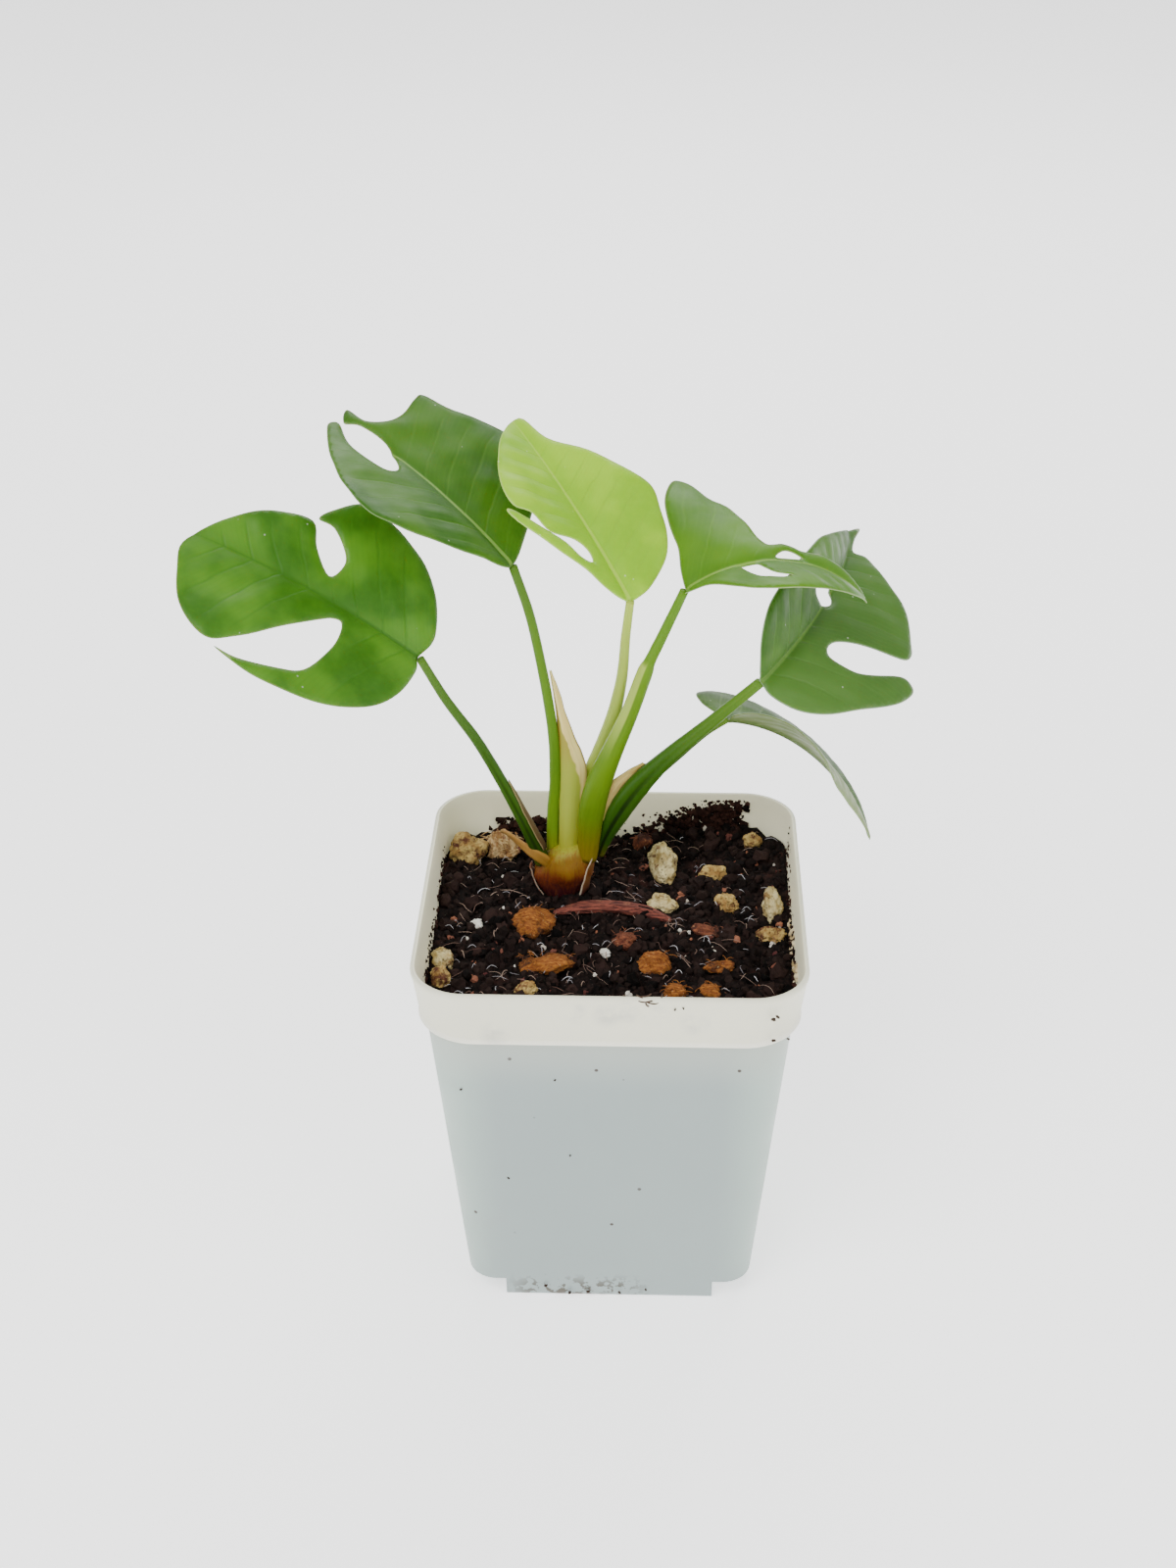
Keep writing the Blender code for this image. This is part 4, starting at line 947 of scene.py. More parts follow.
def stalk_paint(name, foot, low, high, tip, groove, margin):
    """Colour runs from the foot to the tip, with fine stripes along the stalk."""
    paint = Paint(name, specular=0.18, Subsurface_Weight=0.06, Subsurface_Scale=0.002)
    along, around, _ = paint.split(paint.attribute("stalk"))
    colour = paint.mix(paint.ramp(along, 0.0, 0.16), foot, low)
    colour = paint.mix(paint.ramp(along, 0.1, 0.5), colour, high)
    colour = paint.mix(paint.ramp(along, 0.6, 1.0), colour, tip)
    stripes = paint.join(along * 5.0, around * 3.2)
    line = paint.noise(1.0, 4.0, vector=stripes)
    darker = paint.mix(0.5, colour, (0.02, 0.06, 0.005))
    colour = paint.mix(paint.ramp(line, 0.4, 0.7, 0.0, 0.35), colour, darker)
    if groove:
        # Near-black line along the groove: painted shade in the channel, strongest towards the foot
        channel = abs(around - 1.5 * math.pi)
        groove_shade = paint.ramp(channel, 0.42, 0.12) * paint.ramp(along, 0.75, 0.35)
        colour = paint.mix(groove_shade * groove, colour, (0.004, 0.012, 0.002))
    if margin:
        side = paint.ramp(abs(around - math.pi), 1.45, 1.2)
        reach = paint.ramp(along, 0.34, 0.5) * paint.ramp(along, 0.76, 0.68)
        colour = paint.mix(side * reach, colour, margin)
    paint.colour(colour)
    paint.rough(paint.ramp(paint.noise(500.0, 3.0), 0.3, 0.7, 0.36, 0.52))
    paint.bump(line, 0.25, 0.0002)
    return paint.material


def swept(keyed):
    """For each step of a smooth path: its number, how far along it is, its values, and two ways across it."""
    path = curve_through(keyed, PATH_STEPS)
    frames = path_frames([point[:3] for point in path])
    last = len(path) - 1
    return [(i, i / last, path[i], frames[i][1], frames[i][2]) for i in range(len(path))]


def make_stalk(name, controls, radii, paint, node, groove, squash=1.0, sides=20):
    """Solid stalk along the path. The groove runs along its back."""
    rings = []
    marks = []
    keyed = [(*point, radius) for point, radius in zip(controls, radii)]
    for i, along, (x, y, z, radius), across, deep in swept(keyed):
        ring = []
        for k in range(sides):
            turn = 2 * math.pi * k / sides
            dent = 1.0 - groove * max(0.0, math.cos(turn + math.pi / 2)) ** 4
            size = radius * dent * (1.0 + 0.03 * crumple(i * 0.4, turn, 0.0, 1.0, 4.0))
            offset = across * (math.cos(turn) * size) + deep * (math.sin(turn) * size * squash)
            ring.append((x + offset.x, y + offset.y, z + offset.z))
            marks.append((along, turn, 0.0))
        rings.append(ring)
    return marked_piece(name, rings, marks, paint, "stalk", node)


def make_shell(name, controls, radii, angles, paint, node, ragged, thickness=0.22, sides=14):
    """Open skin round part of a path, between two angles that are given at each control point."""
    rings = []
    marks = []
    keyed = [(*point, radius, *span) for point, radius, span in zip(controls, radii, angles)]
    for i, along, (x, y, z, radius, a0, a1), across, deep in swept(keyed):
        ring = []
        wobble = ragged * crumple(i * 0.35, 0.0, 0.0, 1.0, 6.0)
        turns = [math.radians(a0 + (a1 - a0) * k / sides + wobble * 14) for k in range(sides + 1)]
        for layer, order in ((radius, 1), (radius + thickness, -1)):
            for k, turn in list(enumerate(turns))[::order]:
                size = layer * (1.0 + 0.05 * crumple(i * 0.3, turn * 2, 0.0, 1.0, 8.0))
                offset = across * (math.cos(turn) * size) + deep * (math.sin(turn) * size)
                ring.append((x + offset.x, y + offset.y, z + offset.z))
                marks.append((along, turn, abs(k / sides - 0.5) * 2))
        rings.append(ring)
    return marked_piece(name, rings, marks, paint, "papery_sheath", node)


def papery_paint(name, foot, middle, top, edge):
    paint = Paint(name, roughness=0.7, specular=0.3, Subsurface_Weight=0.08, Subsurface_Scale=0.002)
    along, around, rim = paint.split(paint.attribute("stalk"))
    colour = paint.mix(paint.ramp(along, 0.0, 0.35), foot, middle)
    colour = paint.mix(paint.ramp(along, 0.5, 0.95), colour, top)
    line = paint.noise(1.0, 5.0, vector=paint.join(along * 3.0, around * 7.0))
    darker = paint.mix(0.55, colour, (0.10, 0.04, 0.02))
    colour = paint.mix(paint.ramp(line, 0.45, 0.72, 0.0, 0.5), colour, darker)
    colour = paint.mix(paint.ramp(rim, 0.86, 0.98, 0.0, 0.85), colour, edge)
    paint.colour(colour)
    paint.bump(line, 0.5, 0.0002)
    return paint.material


PETIOLES = (
    dict(
        name="petiole_1",
        path=(
            (-13.6, 13.0, 73.0), (-14.5, 12.4, 76.5), (-17, 11, 83.5), (-20.5, 10, 92), (-25, 8.5, 102),
            (-30, 7.5, 110.5), (-34.3, 6.1, 119.7),
        ),
        radii=(1.5, 1.45, 1.2, 1.05, 0.95, 0.85, 0.75),
        tones=((0.06, 0.075, 0.008), (0.018, 0.05, 0.003), (0.035, 0.095, 0.005), (0.06, 0.14, 0.008)),
        groove=0.6,
    ),
    dict(
        name="petiole_2",
        path=(
            (-11.6, 15.0, 73.5), (-11.5, 14.3, 83), (-11, 13.5, 91.5), (-11.5, 12.5, 104), (-14.5, 11, 124),
            (-17.7, 10.05, 136),
        ),
        radii=(1.3, 1.15, 1.05, 0.95, 0.85, 0.8),
        tones=((0.24, 0.25, 0.015), (0.14, 0.27, 0.006), (0.085, 0.19, 0.005), (0.06, 0.14, 0.006)),
    ),
    dict(
        name="petiole_3",
        path=(
            (-8.2, 16.9, 74.0), (-7, 16.8, 81), (-4.8, 15.6, 90.5), (-1.9, 13.7, 99), (0.1, 11.8, 106.5),
            (1.5, 9.8, 115), (2.1, 7.7, 123.5), (2.9, 6.05, 131.3),
        ),
        radii=(1.2, 1.2, 1.3, 1.4, 1.25, 1.0, 0.85, 0.75),
        tones=((0.30, 0.34, 0.04), (0.30, 0.38, 0.045), (0.31, 0.41, 0.06), (0.36, 0.48, 0.06)),
    ),
    dict(
        name="petiole_4",
        path=(
            (-5.0, 12.3, 74.4), (-4.3, 11.5, 84), (-2.9, 10.5, 91.5), (-0.2, 9.6, 99.5), (3.0, 9, 108),
            (5.5, 8.1, 116.2), (6.5, 7.7, 119.0), (8.5, 7, 124), (12.3, 6.0, 133.5),
        ),
        radii=(1.8, 2.4, 2.4, 1.95, 1.6, 1.45, 1.05, 0.95, 0.8),
        tones=((0.21, 0.15, 0.007), (0.10, 0.185, 0.0015), (0.10, 0.21, 0.003), (0.085, 0.20, 0.005)),
        margin=(0.31, 0.41, 0.06),
    ),
    dict(
        name="petiole_5",
        path=(
            (-3.0, 14.0, 74.4), (-1.7, 13.0, 79.0), (0.4, 11.4, 84.5), (4.0, 9.4, 91.5), (9.5, 7.5, 99),
            (18, 6, 108), (25.9, 4.05, 116.7),
        ),
        radii=(1.2, 1.6, 2.15, 2.2, 1.6, 1.15, 0.95),
        tones=((0.10, 0.10, 0.01), (0.02, 0.075, 0.005), (0.03, 0.09, 0.004), (0.075, 0.165, 0.01)),
        groove=0.85,
    ),
    dict(
        name="petiole_6",
        path=(
            (-5.2, 16.6, 74.0), (1, 16.6, 82.8), (6.5, 15.4, 90), (11.9, 14.6, 96), (16.7, 14.8, 100.6),
            (20.8, 15.0, 103.4),
        ),
        radii=(1.1, 1.05, 1.0, 0.9, 0.8, 0.7),
        tones=((0.10, 0.11, 0.015), (0.03, 0.08, 0.006), (0.045, 0.11, 0.006), (0.085, 0.17, 0.01)),
    ),
)


def make_stalks():
    for stalk in PETIOLES:
        groove = stalk.get("groove", 0.0)
        name = stalk["name"]
        paint = stalk_paint(name + " skin", *stalk["tones"], groove=groove, margin=stalk.get("margin"))
        make_stalk(name + "_stalk", stalk["path"], stalk["radii"], paint, name, groove=0.12 + 0.3 * groove)


def make_flap(name, levels, thickness, paint, node, waves=0.25, sides=12):
    """Thin upright sheath between a left and a right edge, given at each level as left, right, y and z."""
    path = curve_through(levels, PATH_STEPS)
    rings = []
    marks = []
    for i, (left, right, y, z) in enumerate(path):
        ring = []
        along = i / (len(path) - 1)
        for layer, order in ((-0.5, 1), (0.5, -1)):
            for k in list(range(sides + 1))[::order]:
                across = k / sides
                arch = math.sin(math.pi * across)
                thick = thickness * (1.0 - 0.75 * along) * max(0.12, arch) ** 0.7
                bow = waves * crumple(across * 2.0, along * 6.0, 0.0, 1.0, 3.0) - 0.5 * arch
                edge = waves * 0.6 * crumple(along * 14.0, 0.0, 0.0, 1.0, 8.0) * across
                ring.append((left + (right - left) * across + edge, y + bow + layer * thick, z))
                marks.append((along, across, abs(across - 0.5) * 2))
        rings.append(ring)
    return marked_piece(name, rings, marks, paint, "papery_sheath", node)


def wing_paint():
    """Yellow-green on the left and at the foot, pinkish cream right of a wavy line, thin olive right edge."""
    paint = Paint("cream wing", roughness=0.55, specular=0.35, Subsurface_Weight=0.1, Subsurface_Scale=0.002)
    along, across, _ = paint.split(paint.attribute("stalk"))
    stem = paint.mix(paint.ramp(along, 0.02, 0.3), (0.32, 0.31, 0.02), (0.34, 0.40, 0.04))
    stem = paint.mix(paint.ramp(along, 0.35, 0.6), stem, (0.32, 0.28, 0.035))
    wavy = paint.noise(1.0, 2.0, vector=paint.join(along * 9.0, 0.5))
    start = 0.98 + wavy * 0.5 - along * 1.35
    beyond = paint.ramp(across - start, -0.03, 0.05)
    streak = paint.noise(1.0, 4.0, vector=paint.join(along * 3.0, across * 9.0))
    cream = paint.mix(paint.ramp(streak, 0.35, 0.7), (0.78, 0.66, 0.25), (0.62, 0.47, 0.13))
    colour = paint.mix(beyond, stem, cream)
    colour = paint.mix(paint.ramp(streak, 0.55, 0.75, 0.0, 0.25), colour, (0.35, 0.33, 0.1))
    rim = paint.ramp(across, 0.93, 0.99) * paint.ramp(along, 0.35, 0.5)
    paint.colour(paint.mix(rim * 0.9, colour, (0.10, 0.09, 0.02)))
    paint.bump(streak, 0.3, 0.0002)
    return paint.material


WING = (
    (
        -10.5, -6.3, 13.2, 73.5
    ), (-10.4, -6.0, 13.4, 78.0), (-10.3, -5.5, 13.6, 85.0), (-10.3, -5.1, 13.5, 93.5),
    (-10.4, -6.8, 13.3, 99.0), (-10.6, -8.6, 13.1, 104.5), (
        -11.2, -10.0, 12.9, 110.0
    ), (-11.8, -11.4, 12.8, 114.3),
)
WEB = (
    (-3.2, -1.6, 11.4, 83.5), (-2.6, 0.4, 11.2, 87.5), (-1.2, 3.0, 10.6, 91.5), (2.4, 4.9, 10.0, 95.0),
    (5.3, 6.0, 9.4, 97.2),
)
DRY_STUB = (
    (-11.9, 12.2, 73.0), (-14.5, 11.5, 75.4), (-16.8, 12.4, 76.6), (-19.4, 16.3, 76.3), (-21.2, 20.4, 75.0),
    (-21.9, 25.2, 72.0),
)


# Tones of the papery skins: foot, middle, top and edge
PAPERY_TONES = {
    "brown sheath": ((0.06, 0.03, 0.01), (0.10, 0.06, 0.02), (0.10, 0.09, 0.02), (0.34, 0.27, 0.12)),
    "cream web": ((0.36, 0.32, 0.06), (0.56, 0.44, 0.15), (0.34, 0.28, 0.07), (0.2, 0.15, 0.04)),
    "left scale": ((0.05, 0.01, 0.01), (0.08, 0.018, 0.012), (0.12, 0.04, 0.015), (0.24, 0.19, 0.14)),
    "right scale": ((0.06, 0.01, 0.01), (0.17, 0.06, 0.012), (0.26, 0.15, 0.02), (0.48, 0.40, 0.30)),
    "dry stub": ((0.27, 0.14, 0.01), (0.30, 0.15, 0.025), (0.38, 0.22, 0.07), (0.2, 0.09, 0.03)),
}
# Scales round the crown: node, foot and top, radii, and the angles that the scale spans
SCALES = (
    ("scale_left", 66.8, 71.6, (4.8, 5.7, 6.1), ((165, 222), (165, 208), (168, 194))),
    ("scale_right", 66.6, 77.5, (4.6, 5.7, 6.8), ((-50, 20), (-40, 10), (-27, -10))),
)


def make_sheaths():
    brown, web, left, right, stub = [papery_paint(name, *tones) for name, tones in PAPERY_TONES.items()]
    spans = ((-45, 35), (-45, 40), (-15, 25))
    make_shell("sheath_left", PETIOLES[0]["path"][1:4], (1.6, 1.35, 1.15), spans, brown, "sheath_1", 0.8)
    make_flap("sheath_cream", WING, 1.5, wing_paint(), "sheath_2")
    make_flap("sheath_right", WEB, 0.5, web, "sheath_5", 0.15)
    for (node, foot, top, radii, spans), paint in zip(SCALES, (left, right)):
        path = [(CROWN[0], CROWN[1] + 0.2, z) for z in (foot, (foot + top) / 2, top)]
        make_shell(node + "_skin", path, radii, spans, paint, node, 0.3)
    radii = (1.2, 1.15, 0.9, 0.8, 0.8, 0.6)
    make_stalk("dry_stub_skin", DRY_STUB, radii, stub, "dry_stub", 0.4, 0.6)


# Height above the foot of the crown and the radius there
CROWN_FOOT = 66.0
CROWN_PROFILE = (
    (
        -1.5, 3.4
    ), (0.0, 4.1), (1.6, 4.7), (3.4, 5.2), (5.2, 5.7), (6.8, 5.6), (8.2, 5.2), (9.4, 4.8), (10.3, 4.1),
    (10.9, 2.6), (11.1, 0.8),
)


def make_crown():
    """Stem base that narrows to its foot, leans to the right, and is higher on its right side."""
    paint = Paint("crown skin", roughness=0.5, specular=0.2, Subsurface_Weight=0.1, Subsurface_Scale=0.002)
    x, _, z = paint.split(paint.where())
    fibres = paint.noise(700.0, 4.0, vector=paint.scaled(3.0, 3.0, 0.5), distortion=0.5)
    patch = paint.noise(260.0, 3.0)
    shift = z + (fibres - 0.5) * 0.005
    shift = shift + (patch - 0.5) * 0.004
    shift = shift - x * 0.12
    colour = paint.mix(paint.ramp(shift, 0.0685, 0.0725), (0.03, 0.004, 0.006), (0.13, 0.025, 0.006))
    colour = paint.mix(paint.ramp(shift, 0.0715, 0.0755), colour, (0.20, 0.10, 0.006))
    colour = paint.mix(paint.ramp(shift, 0.0755, 0.0785), colour, (0.29, 0.30, 0.025))
    colour = paint.mix(paint.ramp(fibres, 0.52, 0.72, 0.0, 0.5), colour, (0.12, 0.035, 0.006))
    paint.colour(colour)
    paint.bump(fibres, 0.4, 0.0003)
    rings = []
    for rise, radius in curve_through(CROWN_PROFILE, 4):
        lean = 0.22 * max(0.0, rise - 4.0)
        tilt = 0.26 * min(1.0, max(0.0, rise / 8.0)) ** 2
        ring = []
        for i in range(56):
            turn = 2 * math.pi * i / 56
            c = math.cos(turn)
            s = math.sin(turn)
            wave = 1.0 + 0.05 * math.cos(3 * turn + rise * 0.6)
            wave += 0.05 * crumple(c * 3, s * 3, rise * 0.3, 1.0)
            wave += 0.03 * math.sin(turn * 9 + rise * 0.25)
            across = radius * wave * c
            back = CROWN[1] + 0.2 + radius * 0.8 * wave * s
            ring.append((CROWN[0] + lean + across, back, CROWN_FOOT + rise + tilt * across))
        rings.append(ring)
    return place(outward(mesh_object("crown_body", *loft(rings), paint.material)), "crown_skin", "crown")


# Leaf blades


def leaf_point(blade, u, v):
    """Points of the bent blade for arrays of u along the midrib and v to its left."""
    azimuth, pitch, roll = np.radians(blade["heading"])
    flat = math.cos(pitch)
    along = np.array([math.cos(azimuth) * flat, math.sin(azimuth) * flat, math.sin(pitch)])
    level = np.array([-math.sin(azimuth), math.cos(azimuth), 0.0])
    up = np.cross(along, level)
    side = level * math.cos(roll) + up * math.sin(roll)
    top = up * math.cos(roll) - level * math.sin(roll)
    steps = (np.arange(24) + 0.5) / 24
    turn = np.radians(blade["bend"]) * u / blade["length"]
    forward = np.cos(turn[:, None] * steps).mean(1) * u
    drop = np.sin(turn[:, None] * steps).mean(1) * u
    lift = np.cos(turn)[:, None] * top + np.sin(turn)[:, None] * along
    twist = (np.radians(blade["twist"]) * u / blade["length"])[:, None]
    left = np.cos(twist) * side + np.sin(twist) * lift
    crest = np.cos(twist) * lift - np.sin(twist) * side
    half = np.where(v >= 0, 0, 1)
    fold = np.array(blade["fold"])[half]
    curl = np.array(blade["curl"])[half] + np.array(blade["growth"])[half] * np.maximum(u, 0.0) / 10.0
    angle = np.radians(fold[:, None] + curl[:, None] * np.abs(v)[:, None] * steps / 20.0)
    across = np.cos(angle).mean(1) * v
    rise = np.sin(angle).mean(1) * np.abs(v)
    points = np.array(blade["base"]) + forward[:, None] * along - drop[:, None] * top
    return points + across[:, None] * left + rise[:, None] * crest


def leaf_surface(blade, u, v):
    """Points and normals of the bent blade."""
    step = 0.15
    du = leaf_point(blade, u + step, v) - leaf_point(blade, u - step, v)
    dv = leaf_point(blade, u, v + step) - leaf_point(blade, u, v - step)
    normals = np.cross(du, dv)
    return leaf_point(blade, u, v), normals / np.linalg.norm(normals, axis=1)[:, None]


def edge_distance(u, v, rings):
    """Distance of each spot from the nearest edge of the outline or of a hole."""
    nearest = np.full(len(u), 1e9)
    for ring in rings:
        for (u0, v0), (u1, v1) in zip(ring, [*ring[1:], ring[0]]):
            long2 = (u1 - u0) ** 2 + (v1 - v0) ** 2 + 1e-12
            t = np.clip(((u - u0) * (u1 - u0) + (v - v0) * (v1 - v0)) / long2, 0, 1)
            away = np.hypot(u - u0 - t * (u1 - u0), v - v0 - t * (v1 - v0))
            nearest = np.minimum(nearest, away)
    return nearest


def ring_inside(u, v, ring):
    hit = np.zeros(len(u), bool)
    for (u0, v0), (u1, v1) in zip(ring, [*ring[1:], ring[0]]):
        if v0 != v1:
            hit ^= ((v0 > v) != (v1 > v)) & (u < (u1 - u0) * (v - v0) / (v1 - v0) + u0)
    return hit


def within_blade(u, v, rings):
    """Whether each spot is inside the outline, the first ring, and outside the holes."""
    keep = ring_inside(u, v, rings[0])
    for hole in rings[1:]:
        keep &= ~ring_inside(u, v, hole)
    return keep


def leaf_triangles(rings, spacing=0.85):
    """Spots and triangles of a flat blade, fine enough to bend."""
    grid_u, grid_v = np.meshgrid(np.arange(-14, 66, spacing), np.arange(-34, 34, spacing * 0.87))
    grid_u = grid_u + np.where(np.arange(grid_v.shape[0]) % 2, 0.5 * spacing, 0.0)[:, None]
    u = grid_u.ravel()
    v = grid_v.ravel()
    keep = within_blade(u, v, rings)
    u, v = u[keep], v[keep]
    clear = edge_distance(u, v, rings) > 0.35 * spacing
    u, v = u[clear], v[clear]
    flat = []
    edges = []
    for ring in rings:
        start = len(flat)
        flat += [Vector(p) for p in ring]
        edges += [(start + i, start + (i + 1) % len(ring)) for i in range(len(ring))]
    flat += [Vector((a, b)) for a, b in zip(u, v)]
    out = geometry.delaunay_2d_cdt(flat, edges, [], 1, 1e-6)
    spots = np.array([(p.x, p.y) for p in out[0]])
    triangles = np.array([face for face in out[2] if len(face) == 3])
    triangles = triangles[within_blade(*spots[triangles].mean(1).T, rings)]
    used, triangles = np.unique(triangles, return_inverse=True)
    return spots[used], triangles.reshape(-1, 3)


def make_leaf(name, blade, paint, slot, node, thickness=0.34):
    """Blade between an upper and a lower skin, with a groove and a ridge along its midrib."""
    rings = [closed_curve(ring, 5) for ring in (blade["outline"], *blade["holes"])]
    spots, triangles = leaf_triangles(rings)
    u, v = spots.T
    edge = edge_distance(u, v, rings)
    points, normals = leaf_surface(blade, u, v)
    length = blade["length"]
    taper = np.clip(1.05 - u / length, 0.15, 1.0)
    away = np.abs(v)
    phase = (u - 0.75 * away + 0.012 * away * away) / blade["rib_step"]
    quilt = blade["quilt"] * np.cos(2 * math.pi * phase)
    quilt *= np.clip(away / 5.0, 0, 1) * np.clip(edge / 3.0, 0, 1)
    ripple = np.array([crumple(a, b, 0.0, 0.16, blade["seed"]) for a, b in zip(u, v)]) * blade["ripple"]
    ripple *= np.clip(away / 6.0, 0.15, 1)
    common = quilt + ripple - 0.22 * np.exp(-((edge / 0.7) ** 2))
    groove = 0.32 * np.exp(-((v / 0.75) ** 2)) * taper
    half = 0.5 * thickness * np.clip(0.25 + edge / 0.8, 0.0, 1.0)
    upper = points + normals * (common + half - groove)[:, None]
    ridge = 0.55 * np.exp(-((v / 0.6) ** 2)) * taper
    lower = points + normals * (common - half - ridge)[:, None]
    count = len(u)
    faces = [tuple(face) for face in triangles]
    faces += [tuple(count + k for k in face[::-1]) for face in triangles]
    sides = {(a, b) for face in triangles for a, b in zip(face, np.roll(face, -1))}
    faces += [(b, a, count + a, count + b) for a, b in sides if (b, a) not in sides]
    faces = [tuple(int(k) for k in face) for face in faces]
    made = outward(mesh_object(name, np.concatenate([upper, lower]), faces, paint))
    leaf = np.stack([u, v, edge], axis=1)
    put_vector(made, "leaf", np.concatenate([leaf, leaf]))
    put_float(made, "under", np.concatenate([np.zeros(count), np.ones(count)]))
    return place(made, slot, node)


def leaf_paint(name, rib_step, dark, light, vein, rib, under, edge, right=None):
    paint = Paint(name, specular=0.2, Subsurface_Weight=0.05, Subsurface_Scale=0.001)
    u, v, rim = paint.split(paint.attribute("leaf"))
    away = abs(v)
    bent = away * away * 0.012
    phase = u - away * 0.75 + bent
    wobble = (paint.noise(90.0, 2.0) - 0.5) * 2.4
    phase = (phase + wobble) / rib_step
    near = abs(paint.math("FRACT", phase) - 0.5)
    fade = paint.ramp(rim, 0.5, 5.0)
    line = paint.ramp(near, 0.1, 0.0) * fade
    fine = abs(paint.math("FRACT", phase * 5.0) - 0.5)
    hair = paint.ramp(fine, 0.25, 0.0) * 0.25
    patch = paint.noise(75.0, 3.0, roughness=0.5)
    grainy = paint.noise(900.0, 4.0)
    colour = paint.mix(paint.ramp(patch, 0.38, 0.64), dark, light)
    colour = paint.mix(paint.ramp(grainy, 0.3, 0.8, 0.0, 0.18), colour, light)
    colour = paint.mix(line * 0.4, colour, vein)
    colour = paint.mix(hair * 0.4, colour, vein)
    # The right half takes its own tone, with streaks along the veins; on blade_5 this is painted light, a lit
    # copy of the shaded green of the left half
    if right:
        streak = 0.7 + hair * 0.6
        colour = paint.mix(paint.ramp(v, 0.6, -1.6) * streak, colour, right)
    shade = paint.ramp(away, 3.2, 0.4) * 0.35
    colour = paint.mix(shade, colour, dark)
    middle = paint.ramp(away + u * 0.008, 0.55, 0.25)
    colour = paint.mix(middle * 0.75, colour, rib)
    colour = paint.mix(paint.ramp(rim, 0.3, 0.0, 0.0, 0.55), colour, edge)
    below = paint.mix(line * 0.7, under, blended(under, rib, 0.6))
    if right:
        below = paint.mix(paint.ramp(v, 0.6, -1.6) * 0.8, below, right)
    colour = paint.mix(paint.attribute("under", "Fac"), colour, below)
    speck = paint.ramp(paint.speckle(260.0), 0.055, 0.03)
    colour = paint.mix(speck * 0.6, colour, blended(rib, (0.8, 0.8, 0.75), 0.5))
    paint.colour(colour)
    paint.rough(paint.ramp(paint.noise(160.0, 4.0), 0.3, 0.7, 0.35, 0.52))
    height = grainy * 0.25 - line * 0.8
    paint.bump(height, 0.3, 0.00025)
    return paint.material


